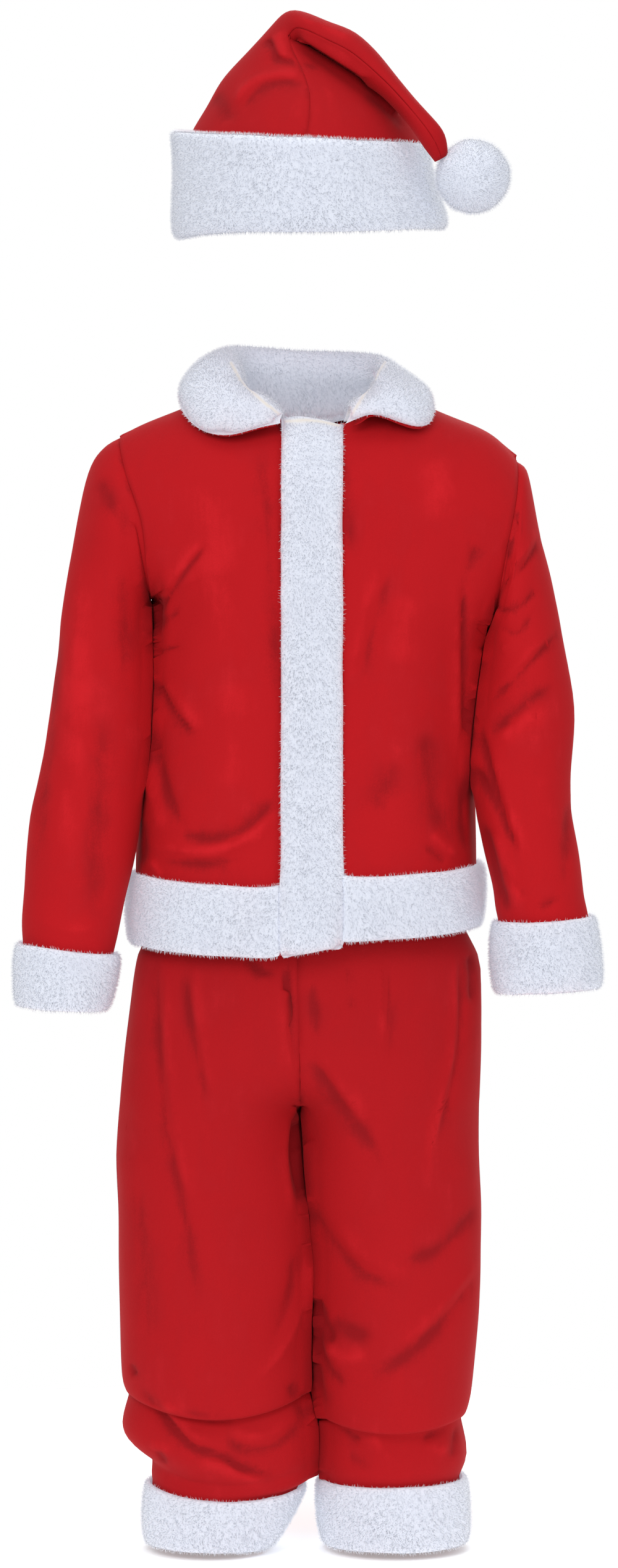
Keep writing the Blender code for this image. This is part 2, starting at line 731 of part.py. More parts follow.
def band_height(x):
    """How deep the hem band is: it narrows from the right side to the left."""
    return mix(HEM_BAND_HEIGHTS[RIGHT], HEM_BAND_HEIGHTS[LEFT], smooth((x + BAND_TAPER) / (2 * BAND_TAPER)))


def make_hem_band(grids):
    """The fur strip round the hem, from the placket's right edge, round the back, to its left edge."""
    room = 2 * SEAM_GAP
    right = []
    left = []
    back = []
    for share in BAND_ROWS[::-1]:
        for strip, key in ((right, "front_right"), (left, "front_left"), (back, "back")):
            panel = grids[key]

            def height(column):
                hem = panel[0][column]
                return hem.z + band_height(hem.x) * (1.0 - share) - BAND_PAST_HEM

            strip.append(along_columns(panel, height))
    grid = []
    for right_row, back_row, left_row in zip(right, back, left):
        start = along_row(right_row, PLACKET_RIGHT_X - room)
        end = along_row(left_row, PLACKET_LEFT_X + room)
        front_right = [point for point in right_row[1:] if point.x < start.x - room]
        front_left = [point for point in left_row[1:] if point.x > end.x + room]
        right_seam = (right_row[0] + back_row[0]) / 2
        left_seam = (left_row[0] + back_row[-1]) / 2
        right_part = [start] + front_right[::-1] + [right_seam]
        left_part = [left_seam] + front_left + [end]
        grid.append(right_part + back_row[1:-1] + left_part)
    fur_on("hem_band", grid, band_pile(BAND_PILE), flip=True)


def neck_seam(grids, station):
    """Where a collar section is sewn on: just inside the jacket's neck edge, which it follows."""
    x = -station.seam * MM
    key = "back" if station.face == BACK else ("front_right" if x < 0 else "front_left")
    edge = grids[key][-1]
    if key == "back":
        edge = edge[NECK_COLUMN:-NECK_COLUMN]
    else:
        edge = edge[NECK_COLUMN:]
    seam = along_row(edge, x)
    inward = Vector((-seam.x, -seam.y, 0.0)).normalized() * COLLAR_GAP
    return seam + inward + Vector((0.0, 0.0, LAY_GAP))


def collar_curve(grids, station):
    """A collar section's underside: up from the neck seam, over the roll and down to the fall's edge."""
    seam = neck_seam(grids, station)
    roll = Vector((station.roll_x, station.roll_y, station.roll_z)) * MM
    edge = Vector((station.edge_x, station.edge_y, station.edge_z)) * MM
    away = Vector((edge.x - seam.x, edge.y - seam.y, 0.0)).normalized()
    rise = roll.z - seam.z
    fall = roll.z - edge.z
    spread = Vector((edge.x - roll.x, edge.y - roll.y, 0.0)).length
    stand = (seam, seam + Vector((0, 0, 0.55 * rise)), roll - away * min(5 * MM, 0.3 * rise), roll)
    over = away * 0.62 * spread * station.belly
    drape = (roll, roll + over, edge + Vector((0, 0, 0.45 * fall * station.belly)), edge)
    curve = [bezier(stand, index / 3) for index in range(3)]
    return curve + [bezier(drape, index / 5) for index in range(6)]


def bezier(run, t):
    a, b, c, d = run
    s = 1.0 - t
    return a * s**3 + b * 3 * s * s * t + c * 3 * s * t * t + d * t**3


def make_collar(grids):
    """The red under-collar, and the fur upper collar on its upper side."""
    under = [collar_curve(grids, station) for station in COLLAR]
    upper = moved_out(under, lambda row, column: UNDER_COLLAR_WALL, flip=True)
    slab("under_collar", under, upper, "velour", flip=True)
    last_row = len(under) - 1
    last_column = len(under[0]) - 1

    def pile(row, column):
        return COLLAR_PILE * pile_profile(row / last_row, 0.5) * pile_profile(column / last_column)

    furred = under[:-1] + [between(under[-2], under[-1], 1.0 - COLLAR_EDGE_SHOWN)]
    fur_on("collar_fur", furred, pile, flip=True, gap=COLLAR_FUR_GAP)


# Trousers ----------------------------------------------------------------------------------------------


def leg_row(row, side, face, folds):
    """A leg panel's points at one height, from its outer side seam to its inner or centre seam."""
    end = math.radians(row.end)
    crotch_room = SEAM_GAP / 2 + (CLOTH_WALL + 0.2 * MM) * max(0.0, -math.cos(end))
    outer = side * (row.outer * MM - CLOTH_WALL)
    inner = -row.inner * MM if side == RIGHT else row.inner * MM
    inner += side * crotch_room
    deep = (row.front if face == FRONT else row.back) * MM - CLOTH_WALL
    points = []
    for column in range(LEG_COLUMNS + 1):
        angle = end * column / LEG_COLUMNS
        across = (1.0 - math.cos(angle)) / (1.0 - math.cos(end))
        x = mix(outer, inner, across)
        z = row.z * MM - row.dip * MM * math.sin(angle) ** 2 * (1.0 if face == FRONT else TROUSER_BACK_DIP)
        rise = math.sin(angle) ** 0.9
        calm = smooth((-355 * MM - z) / (8 * MM)) * smooth((z + 705 * MM) / (10 * MM)) * rise
        y = face * (SEAM_GAP / 2 + deep * rise + relief(folds, x, z) * calm)
        points.append(Vector((x, y, z)))
    return points


def make_leg(side, name):
    table = LEGS[side]
    rows = list(table[:-2]) + [between(table[-2], table[-1], share) for share in BAND_ROWS]
    grids = {}
    for face, word, folds in ((FRONT, "front", TROUSER_FOLDS), (BACK, "back", TROUSER_BACK_FOLDS)):
        grids[face] = [leg_row(row, side, face, folds) for row in rows]
        sheet("trouser_" + word + "_" + name, grids[face], CLOTH_WALL, "velour", flip=side * face == 1)
    rings = []
    for front, back in list(zip(grids[FRONT], grids[BACK]))[-len(BAND_ROWS):]:
        outer_seam = (front[0] + back[0]) / 2
        inner_seam = (front[-1] + back[-1]) / 2
        rings.append([outer_seam] + front[1:-1] + [inner_seam] + back[1:-1][::-1])
    fur_on("leg_cuff_" + name, rings, band_pile(BAND_PILE), closed=True, flip=side == RIGHT)


def make_waistband():
    grid = []
    for row in WAIST:
        half = row.outer * MM - CLOTH_WALL
        points = []
        for index in range(WAIST_SIDES):
            angle = 2.0 * math.pi * index / WAIST_SIDES
            sine = math.sin(angle)
            deep = (row.front if sine >= 0 else row.back) * MM - CLOTH_WALL
            points.append(Vector((half * math.cos(angle), -deep * sine, row.z * MM)))
        grid.append(points)
    sheet("waistband", grid, WAISTBAND_WALL, "elastic", closed=True)


# Hat ---------------------------------------------------------------------------------------------------


def tipped(points):
    """The hat's points, tipped so that its back stands higher than its front."""
    for point in points:
        point.z += HAT_BACK_RISE * point.y
    return points


def make_hat():
    """Two crown halves with seams down the front and the back, and the fur brim on them."""
    rings = [between(CROWN[0], CROWN[1], share) for share in BAND_ROWS] + list(CROWN[2:])
    whole = [tipped(ring_points(ring, LEFT, -CLOTH_WALL, CROWN_SIDES)) for ring in rings]
    quarter = CROWN_SIDES // 4
    half = CROWN_SIDES // 2
    for name, first, toward in (("hat_crown_left", quarter, -1), ("hat_crown_right", -quarter, 1)):
        grid = []
        for ring, points in zip(rings, whole):
            row = [points[(first + step) % CROWN_SIDES].copy() for step in range(half + 1)]
            apart = Vector((ring.outer_x - ring.inner_x, 0.0, ring.outer_z - ring.inner_z)).normalized()
            row[0] += apart * toward * SEAM_GAP / 2
            row[-1] += apart * toward * SEAM_GAP / 2
            grid.append(row)
        sheet(name, grid, CLOTH_WALL, "velour")
    inner = moved_out(whole[: len(BRIM)], lambda row, column: CLOTH_WALL + LAY_GAP, closed=True)
    outer = [tipped(ring_points(ring, LEFT, 0.0, CROWN_SIDES)) for ring in BRIM[::-1]]
    for row, share in zip(outer, BRIM_DROOP_SHARES):
        for point in row:
            point.z -= BRIM_DROOP * share * smooth((BRIM_DROOP_FROM_X - point.x) / BRIM_DROOP_WIDTH)
    slab("hat_brim", inner, outer, "fur", closed=True)


def make_pompom():
    """A ball of tufts: each face of a cube blown out to a ball is drawn out to a four-sided lock."""
    ball = bmesh.new()
    bmesh.ops.create_cube(ball, size=2.0)
    bmesh.ops.subdivide_edges(ball, edges=ball.edges[:], cuts=POMPOM_GRID - 1, use_grid_fill=True)
    centre = Vector(POMPOM_CENTRE)
    for vert in ball.verts:
        vert.co = Vector(math.tan(value * math.pi / 4) for value in vert.co).normalized() * POMPOM_CORE
    poked = bmesh.ops.poke(ball, faces=ball.faces[:])
    end = CROWN[-1]
    tail_y = (end.front + end.back) / 2
    tail = Vector((end.inner_x, tail_y, end.inner_z + HAT_BACK_RISE * tail_y)) * MM - centre
    for index, vert in enumerate(poked["verts"]):
        ragged = 1.0 - TUFT_RAGGEDNESS * (0.5 - 0.5 * math.sin(index * 2.4))
        reach = POMPOM_RADIUS * ragged
        if vert.co.angle(tail) < math.radians(TUFTLESS_ANGLE):
            reach = POMPOM_CORE + 0.8 * MM
        vert.co = vert.co.normalized() * reach
    bmesh.ops.translate(ball, verts=ball.verts, vec=centre)
    mesh = bpy.data.meshes.new("pompom")
    ball.to_mesh(mesh)
    ball.free()
    mesh.materials.append(material("fur"))
    PARTS.objects.link(bpy.data.objects.new("pompom", mesh))


# The suit ----------------------------------------------------------------------------------------------

for old in list(bpy.data.objects):
    bpy.data.objects.remove(old, do_unlink=True)
PARTS = bpy.data.collections.new("santa_suit")
bpy.context.scene.collection.children.link(PARTS)

jacket = make_jacket_body()
for wearer_side, side_name in ((RIGHT, "right"), (LEFT, "left")):
    make_sleeve(wearer_side, side_name)
    make_leg(wearer_side, side_name)
make_placket(jacket["front_left"])
make_hem_band(jacket)
make_collar(jacket)
make_waistband()
make_hat()
make_pompom()
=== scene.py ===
# %% [markdown]
# # A child's santa suit
# The suit is three garments: a jacket that closes down the front, loose trousers and a floppy hat. All are
# cut from red velour, a short-napped stretch cloth, and edged with bands of white plush fur.
# The solids that carry the suit's weight and size are loaded first and are not changed. Each piece of cloth
# and fur is then made as a finer shell on its own solid, so every seam and opening stays where it is.

import math
from collections import namedtuple

import bmesh
import bpy
import numpy as np
from mathutils import Matrix, Vector, noise
from mathutils.bvhtree import BVHTree
from mathutils.kdtree import KDTree


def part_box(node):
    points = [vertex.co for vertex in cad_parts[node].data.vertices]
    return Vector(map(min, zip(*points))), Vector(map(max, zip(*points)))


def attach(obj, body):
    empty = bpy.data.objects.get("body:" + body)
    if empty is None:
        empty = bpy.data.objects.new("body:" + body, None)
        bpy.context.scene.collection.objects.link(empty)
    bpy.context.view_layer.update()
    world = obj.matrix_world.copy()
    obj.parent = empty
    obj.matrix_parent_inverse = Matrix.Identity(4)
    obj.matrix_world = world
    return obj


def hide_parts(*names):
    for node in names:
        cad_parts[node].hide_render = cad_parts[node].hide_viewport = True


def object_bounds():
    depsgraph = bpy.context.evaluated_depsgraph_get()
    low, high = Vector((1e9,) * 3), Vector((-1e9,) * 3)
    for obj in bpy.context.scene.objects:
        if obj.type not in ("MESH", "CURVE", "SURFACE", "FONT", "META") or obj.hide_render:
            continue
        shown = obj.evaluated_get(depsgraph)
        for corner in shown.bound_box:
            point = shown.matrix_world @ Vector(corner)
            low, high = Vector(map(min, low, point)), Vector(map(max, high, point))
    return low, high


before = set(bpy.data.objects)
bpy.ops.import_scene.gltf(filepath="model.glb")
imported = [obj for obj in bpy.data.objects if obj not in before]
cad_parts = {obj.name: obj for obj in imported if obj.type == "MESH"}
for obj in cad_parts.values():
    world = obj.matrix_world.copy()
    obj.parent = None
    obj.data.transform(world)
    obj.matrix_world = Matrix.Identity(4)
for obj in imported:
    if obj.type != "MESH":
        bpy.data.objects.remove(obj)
cad_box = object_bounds()
MM = 0.001
print("nodes:", len(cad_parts))

# %% [markdown]
# ## The camera
# A long lens from far away keeps the suit's true outline: the sleeves, which are nearer than the seat,
# hardly grow. The frame is tall and narrow, so its height sets the lens.

# %% Camera
VIEW_HEIGHT = 1.0664
VIEW_CENTRE = Vector((0.0, 0.0, -0.2434))
SHIFT = -0.1
AIM = VIEW_CENTRE - Vector((0.0, 0.0, SHIFT * VIEW_HEIGHT))
CAMERA_PLACE = Vector((0.0, -4.4, 0.0))
SENSOR = 36.0

camera_data = bpy.data.cameras.new("camera")
camera_data.sensor_fit = "VERTICAL"
camera_data.sensor_height = SENSOR
camera_data.lens = SENSOR * (AIM - CAMERA_PLACE).length / VIEW_HEIGHT
camera_data.shift_y = SHIFT
camera = bpy.data.objects.new("camera", camera_data)
bpy.context.scene.collection.objects.link(camera)
camera.location = CAMERA_PLACE
camera.rotation_euler = (AIM - CAMERA_PLACE).to_track_quat("-Z", "Y").to_euler()
bpy.context.scene.camera = camera
print("lens:", round(camera_data.lens, 1), "mm")

# %% [markdown]
# ## Shader sums
# A material here is mostly arithmetic on a few noises. A small class wraps a socket so that the sums can
# be written as sums, and one method makes every other node.

# %% Wires and nodes


class Wire:
    """An output socket that can be added, scaled and compared."""

    def __init__(self, sheet, socket):
        self.sheet = sheet
        self.socket = socket

    def sum(self, operation, *values):
        return self.sheet.node("ShaderNodeMath", {"operation": operation}, dict(enumerate(values)))

    def __add__(self, other):
        return self.sum("ADD", self, other)

    __radd__ = __add__

    def __sub__(self, other):
        return self.sum("SUBTRACT", self, other)

    def __rsub__(self, other):
        return self.sum("SUBTRACT", other, self)

    def __mul__(self, other):
        return self.sum("MULTIPLY", self, other)

    __rmul__ = __mul__

    def between(self, low, high):
        """0 below low, 1 above high, smooth in between."""
        values = {"Value": self, "From Min": low, "From Max": high}
        return self.sheet.node("ShaderNodeMapRange", {"interpolation_type": "SMOOTHSTEP"}, values)


class Finish:
    """A material and its node tree."""

    def __init__(self, name, **shader):
        self.material = bpy.data.materials.new(name)
        self.material.use_nodes = True
        self.tree = self.material.node_tree
        self.shader = self.tree.nodes["Principled BSDF"]
        self.fill(self.shader, shader)

    def fill(self, node, values):
        for key, value in values.items():
            socket = node.inputs[key.replace("_", " ") if isinstance(key, str) else key]
            if isinstance(value, Wire):
                self.tree.links.new(value.socket, socket)
            else:
                socket.default_value = value

    def node(self, kind, settings, values, out=0):
        """Any node: its type, its settings, and the values or wires of its sockets."""
        made = self.tree.nodes.new(kind)
        for key, value in settings.items():
            setattr(made, key, value)
        self.fill(made, values)
        return Wire(self, made.outputs[out])

    def attribute(self, name, out="Fac"):
        return self.node("ShaderNodeAttribute", {"attribute_name": name}, {}, out=out)

    def noise(self, place, scale, detail=2.0, rough=0.5, stretch=None):
        if stretch:
            place = self.node("ShaderNodeVectorMath", {"operation": "MULTIPLY"}, {0: place, 1: stretch})
        values = {"Vector": place, "Scale": scale, "Detail": detail, "Roughness": rough}
        return self.node("ShaderNodeTexNoise", {}, values)

    def mix(self, share, first, second):
        return self.node("ShaderNodeMix", {"data_type": "RGBA"}, {0: share, 6: first, 7: second}, out=2)


print("wires ready")

# %% [markdown]
# ## Red velour
# Velour has a dense cut nap. Where a hand has brushed it one way it looks a shade darker or lighter, so the
# red is mottled in soft patches, with fine streaks down the cloth and a grain of single tufts. Folds get a
# painted highlight on their ridges and painted shade in their troughs, and cloth that leans on cloth gets
# painted shade too: the mesh brings that along as an attribute. The hat and the trousers take a copy with
# more painted shade, so their red looks a little darker.

# %% Velour
RED_DEEP = (0.22, 0.005, 0.008, 1.0)
RED_MIDDLE = (0.45, 0.007, 0.011, 1.0)
RED_LIT = (0.58, 0.012, 0.018, 1.0)
SHEEN_RED = (1.0, 0.10, 0.11, 1.0)
PAINTED_SHADE_SHARE = 0.25
TUFT_HEIGHT = 0.6 * MM


def velour(name, shade_share=0.0):
    made = Finish(name, Roughness=0.82, Sheen_Weight=0.18, Sheen_Roughness=0.45, Specular_IOR_Level=0.1)
    made.shader.inputs["Sheen Tint"].default_value = SHEEN_RED
    place = made.node("ShaderNodeTexCoord", {}, {}, out="Object")
    patches = made.noise(place, 26.0, detail=3.0, rough=0.55)
    streaks = made.noise(place, 120.0, detail=3.0, rough=0.6, stretch=(1.0, 1.0, 0.22))
    tufts = made.noise(place, 900.0, detail=2.0, rough=0.7)
    # relief: painted shade in crease troughs and where cloth leans on cloth, painted highlight on ridges.
    relief = made.attribute("relief")
    tone = (patches - 0.5) * 1.3 + (streaks - 0.5) * 0.6 + (tufts - 0.5) * 0.5
    # low adds painted shade in crease troughs to the random nap tone; high adds a painted highlight on
    # ridges.
    low = (tone - relief * 1.3 + 0.1).between(0.0, 0.8)
    high = (tone + relief * 0.9 + 0.02).between(0.0, 0.6)
    red = made.mix(low * 0.75, RED_MIDDLE, RED_DEEP)
    red = made.mix(high * 0.8, red, RED_LIT)
    # The shaded copy: painted shade mixes darker red in all over.
    if shade_share:
        red = made.mix(shade_share, red, RED_DEEP)
    nap = tufts * 0.7 + streaks * 0.3
    bump = made.node("ShaderNodeBump", {}, {"Strength": 0.25, "Distance": TUFT_HEIGHT, "Height": nap})
    rough = (tufts - 0.5) * 0.2 + 0.82
    made.fill(made.shader, {"Base Color": red, "Normal": bump, "Roughness": rough})
    return made.material


VELOUR = velour("red velour")
VELOUR_SHADED = velour("red velour, painted shade", shade_share=PAINTED_SHADE_SHARE)
print("made", VELOUR.name, "and", VELOUR_SHADED.name)

# %% [markdown]
# ## White plush
# The fur is a dense short pile. Its fibres pass light on to each other, so they are all lit alike: each
# takes the normal of the ground that it grows from. What tells them apart is colour: painted shade, cooler
# and a little darker, at the roots and on the ground under them, drifts where the pile is parted, and cream
# where the knitted backing is cut. The fur also glows a little, as painted light.

# %% Plush
FUR_WHITE = (0.545, 0.565, 0.615, 1.0)
FUR_COOL = (0.485, 0.50, 0.56, 1.0)
FUR_ROOT_SHADE = (0.53, 0.55, 0.595, 1.0)
FUR_CREAM = (0.60, 0.52, 0.37, 1.0)
GLOW_WHITE = (0.80, 0.85, 1.0, 1.0)
FUR_GLOW = 0.31
SCATTER = 6.0 * MM
KNIT_HEIGHT = 0.8 * MM


def plush(name, ground):
    """The knitted ground of the fur, or the pile on it."""
    made = Finish(name, Roughness=0.95, Specular_IOR_Level=0.05)
    made.shader.inputs["Subsurface Weight"].default_value = 0.9
    made.shader.inputs["Subsurface Scale"].default_value = SCATTER
    made.shader.inputs["Subsurface Radius"].default_value = (1.0, 1.0, 1.0)
    # Painted light: the fur glows a little, in place of light passed on between its fibres.
    made.shader.inputs["Emission Color"].default_value = GLOW_WHITE
    made.shader.inputs["Emission Strength"].default_value = FUR_GLOW
    place = made.node("ShaderNodeTexCoord", {}, {}, out="Object")
    drifts = made.noise(place, 30.0, detail=4.0, rough=0.6)
    tufts = made.noise(place, 300.0, detail=3.0, rough=0.6, stretch=(1.0, 1.0, 0.6))
    cream = made.attribute("cream")
    white = made.mix(drifts.between(0.45, 0.75) * 0.5, FUR_WHITE, FUR_COOL)
    white = made.mix(tufts.between(0.5, 0.8) * 0.35, white, FUR_COOL)
    if ground:
        # Painted shade: the ground under the pile is mixed towards the darker root colour.
        colour = made.mix(0.6, white, FUR_ROOT_SHADE)
        normal = made.node("ShaderNodeBump", {}, {"Strength": 0.3, "Distance": KNIT_HEIGHT, "Height": tufts})
    else:
        # Painted shade at the roots of the locks, lighter towards their tips.
        colour = made.mix(made.attribute("tip").between(-0.2, 0.6), FUR_ROOT_SHADE, white)
        normal = made.attribute("lie", out="Vector")
    colour = made.mix(cream * 0.8, colour, FUR_CREAM)
    made.fill(made.shader, {"Base Color": colour, "Normal": normal})
    return made.material


FUR_GROUND = plush("white plush ground", ground=True)
FUR_PILE = plush("white plush pile", ground=False)
print("made", FUR_GROUND.name, "and", FUR_PILE.name)

# %% [markdown]
# ## A finer copy of a solid
# A solid's mesh is loose triangles. A copy of it is merged, its triangles are paired into quads and it is
# subdivided. Plain subdivision pulls a mesh in from its corners, so the cage is first pushed out until the
# fine surface passes through every point of the solid: that keeps seams together and the outline true.

# %% Fitted copy
SHARP = math.radians(50)
FLAT_PAIR = math.radians(45)
SQUARE_PAIR = math.radians(60)
MERGE = 0.02 * MM
FIT_ROUNDS = 4


def coordinates(mesh):
    out = np.empty(len(mesh.vertices) * 3)
    mesh.vertices.foreach_get("co", out)
    return out.reshape(-1, 3)


def vertex_normals(mesh):
    out = np.empty(len(mesh.vertices) * 3)
    mesh.vertices.foreach_get("normal", out)
    return out.reshape(-1, 3)


def place_points(mesh, points):
    mesh.vertices.foreach_set("co", np.ascontiguousarray(points).ravel())
    mesh.update()


def evaluated(thing):
    graph = bpy.context.evaluated_depsgraph_get()
    return bpy.data.meshes.new_from_object(thing.evaluated_get(graph), depsgraph=graph)


def add_piece(name, mesh):
    thing = bpy.data.objects.new(name, mesh)
    bpy.context.scene.collection.objects.link(thing)
    return thing


def fitted_copy(node, name, levels, sharp_rims=True):
    """A subdivided copy of a node, through the node's own points."""
    bm = bmesh.new()
    bm.from_mesh(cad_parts[node].data)
    bmesh.ops.remove_doubles(bm, verts=bm.verts, dist=MERGE)
    faces = bm.faces[:]
    limits = {"angle_face_threshold": FLAT_PAIR, "angle_shape_threshold": SQUARE_PAIR}
    bmesh.ops.join_triangles(bm, faces=faces, **limits)
    crease = bm.edges.layers.float.new("crease_edge")
    for edge in bm.edges:
        if sharp_rims and edge.calc_face_angle(0.0) > SHARP:
            edge[crease] = 1.0
    mesh = bpy.data.meshes.new(name)
    bm.to_mesh(mesh)
    bm.free()
    thing = add_piece(name, mesh)
    finer = thing.modifiers.new("finer", "SUBSURF")
    finer.levels = finer.render_levels = levels
    wanted = coordinates(mesh)
    for _ in range(FIT_ROUNDS):
        reached = coordinates(evaluated(thing))[: len(wanted)]
        place_points(mesh, coordinates(mesh) + (wanted - reached))
    thing.data = evaluated(thing)
    thing.modifiers.clear()
    thing.data.materials.clear()
    thing.data.name = name
    thing.data.shade_smooth()
    return thing


def solids_tree(*nodes):
    """The faces of some solids, to measure distances from."""
    verts = []
    faces = []
    for node in nodes:
        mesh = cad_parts[node].data
        faces += [tuple(index + len(verts) for index in face.vertices) for face in mesh.polygons]
        verts += [vert.co.copy() for vert in mesh.vertices]
    return BVHTree.FromPolygons(verts, faces)


print("fitted copies ready")

# %% [markdown]
# Narrow creases need points to stand on. Long edges are halved, and more finely beside a crease. Two
# distances decide how far a crease may reach: from the piece's own cut edges, and from its neighbours.

# %% Finer edges and distances
HALVINGS = 3


def split_long_edges(mesh, longest, near=None):
    """Halves a mesh's long edges, or those near some places, so that a narrow crease finds points."""
    bm = bmesh.new()
    bm.from_mesh(mesh)
    for _ in range(HALVINGS):
        long = [edge for edge in bm.edges if edge.calc_length() > longest]
        if near is not None and long:
            middles = np.array([(edge.verts[0].co + edge.verts[1].co) / 2 for edge in long])
            long = [edge for edge, wanted in zip(long, near(middles)) if wanted]
        if long:
            bmesh.ops.subdivide_edges(bm, edges=long, cuts=1, use_grid_fill=True)
    bm.to_mesh(mesh)
    bm.free()
    mesh.shade_smooth()
    mesh.set_sharp_from_angle(angle=SHARP)


def rim_distance(mesh, reach):
    """For each point, how far it is from the piece's cut edges, as a share of reach, up to 1."""
    bm = bmesh.new()
    bm.from_mesh(mesh)
    bm.normal_update()
    rims = {v.index: v.co.copy() for e in bm.edges if e.calc_face_angle(0.0) > SHARP for v in e.verts}
    bm.free()
    tree = KDTree(len(rims))
    for index, place in rims.items():
        tree.insert(place, index)
    tree.balance()
    shares = [tree.find(v.co)[2] / reach if rims else 1.0 for v in mesh.vertices]
    return np.clip(np.array(shares), 0.0, 1.0)


def distances(points, tree, reach):
    """Each point's distance from a tree of faces, up to reach."""
    found = (tree.find_nearest(Vector(point), reach)[3] for point in points)
    return np.array([reach if distance is None else distance for distance in found])


print("distances ready")

# %% [markdown]
# ## Creases
# The big bends of the cloth are in the solids. The creases are laid on one line each, as they run on
# the real suit: drag lines from the underarm, pleats below the hem band, soft hollows down the sleeves,
# and cloth sinking in rolls above the cuffs. A crease is a path in the front view, through points (x, z) in
# millimetres, with a width and a height: a trough where the height is negative. The back has similar ones.

# %% Crease tables
Crease = namedtuple("Crease", "path width height")


def table(*rows):
    return tuple(Crease(*row) for row in rows)


JACKET_RIGHT_CREASES = table(
    (((-101, -125), (-84.5, -99), (-67, -77.5)), 2.6, -2.0),
    (((-98.5, -115), (-82.5, -89), (-70, -75)), 3.6, 1.6),
    (((-104.5, -107.5), (-101, -122), (-103.5, -142.5)), 4.0, -3.6),
    (((-102.5, -132), (-93, -129.5), (-86, -122)), 2.4, -1.5),
    (((-102.5, -153.5), (-90, -148), (-82.5, -149.5)), 2.4, -1.5),
    (((-102.5, -169.5), (-93, -190), (-76.5, -207.5)), 3.0, -2.4),
    (((-96, -169.5), (-87, -188), (-70, -204.5)), 4.0, 1.5),
    (((-103.5, -198.5), (-99, -235.5), (-91, -259.5), (-80.5, -270.5)), 4.0, -2.2),
    (((-108, -223), (-105, -252), (-98.5, -273.5)), 4.5, 1.6),
    (((-104, -282), (-70, -286), (-41.5, -277.5), (-20, -255.5)), 3.6, 2.2),
    (((-98.5, -292.5), (-70, -294), (-43.5, -288.5)), 4.0, -1.6),
    (((-89, -273.5), (-62, -277.5), (-37, -266.5), (-20, -243)), 4.4, -1.8),
    (((-113.5, -264.5), (-110.5, -285), (-114, -299.5)), 3.6, -1.8),
    (((-107.5, -291.5), (-98.5, -303.5)), 2.6, 1.4),
    (((-33, -12.5), (-25, -87), (-22.5, -190)), 5.0, -0.9),
    (((-70, -18.5), (-62, -87), (-64, -161)), 16.0, 0.9),
    (((-47.5, -169.5), (-53, -243.5)), 12.0, 0.9),
)
JACKET_LEFT_CREASES = table(
    (((104, -99), (104, -161), (106, -227)), 2.8, -2.4),
    (((99, -99), (98.5, -169.5), (101, -235.5)), 4.0, 1.4),
    (((113.5, -78.5), (107.5, -99)), 4.0, -1.5),
    (((46.5, -91.5), (37, -122), (27, -169.5)), 6.0, 1.3),
    (((53.5, -99), (44, -132), (35, -169.5)), 5.0, -1.1),
    (((66, -111.5), (62, -161)), 10.0, 0.9),
    (((78.5, -202.5), (82.5, -252), (99, -281)), 8.0, -1.2),
    (((58, -223), (41.5, -264.5)), 10.0, -0.8),
    (((82.5, -273.5), (100, -290)), 3.0, 1.4),
    (((78.5, -282), (93, -293.5)), 2.6, -1.2),
    (((105.5, -231.5), (103.5, -268.5), (108, -290)), 3.6, -1.5),
    (((25, -20.5), (27.5, -87)), 5.0, -0.9),
    (((82.5, -18.5), (91, -66)), 12.0, 0.9),
)
BACK_CREASES = table(
    (((-100, -128), (-72, -84)), 6.0, 2.0),
    (((-96, -112), (-78, -72)), 5.0, -1.6),
    (((104, -124), (76, -78)), 6.0, 2.0),
    (((98, -106), (82, -66)), 5.0, -1.7),
    (((-102, -160), (-80, -206)), 7.0, 1.6),
    (((103, -166), (84, -214)), 7.0, 1.7),
    (((-50, -60), (-60, -220)), 14.0, -1.2),
    (((8, -90), (2, -280)), 13.0, 1.2),
    (((48, -70), (60, -240)), 14.0, -1.2),
    (((-80, -292), (-16, -284)), 7.0, 1.8),
    (((10, -288), (88, -278)), 7.0, 1.7),
    (((-60, -272), (20, -262)), 9.0, -1.2),
)
SLEEVE_RIGHT_CREASES = table(
    (((-109.5, -66.5), (-109, -89.5), (-109.5, -114.5)), 2.6, -2.6),
    (((-126.5, -79), (-123, -133), (-124.5, -183)), 6.0, -1.0),
    (((-154.5, -87.5), (-157, -191), (-161.5, -295)), 9.0, 1.2),
    (((-168, -133), (-175.5, -212), (-183, -295)), 5.0, -1.0),
    (((-138, -191), (-141.5, -266), (-145.5, -336.5)), 9.0, -0.9),
    (((-141.5, -33.5), (-130.5, -58), (-119, -79)), 6.0, -1.1),
    (((-183, -332.5), (-162, -337.5), (-141.5, -336.5)), 4.0, 1.1),
)
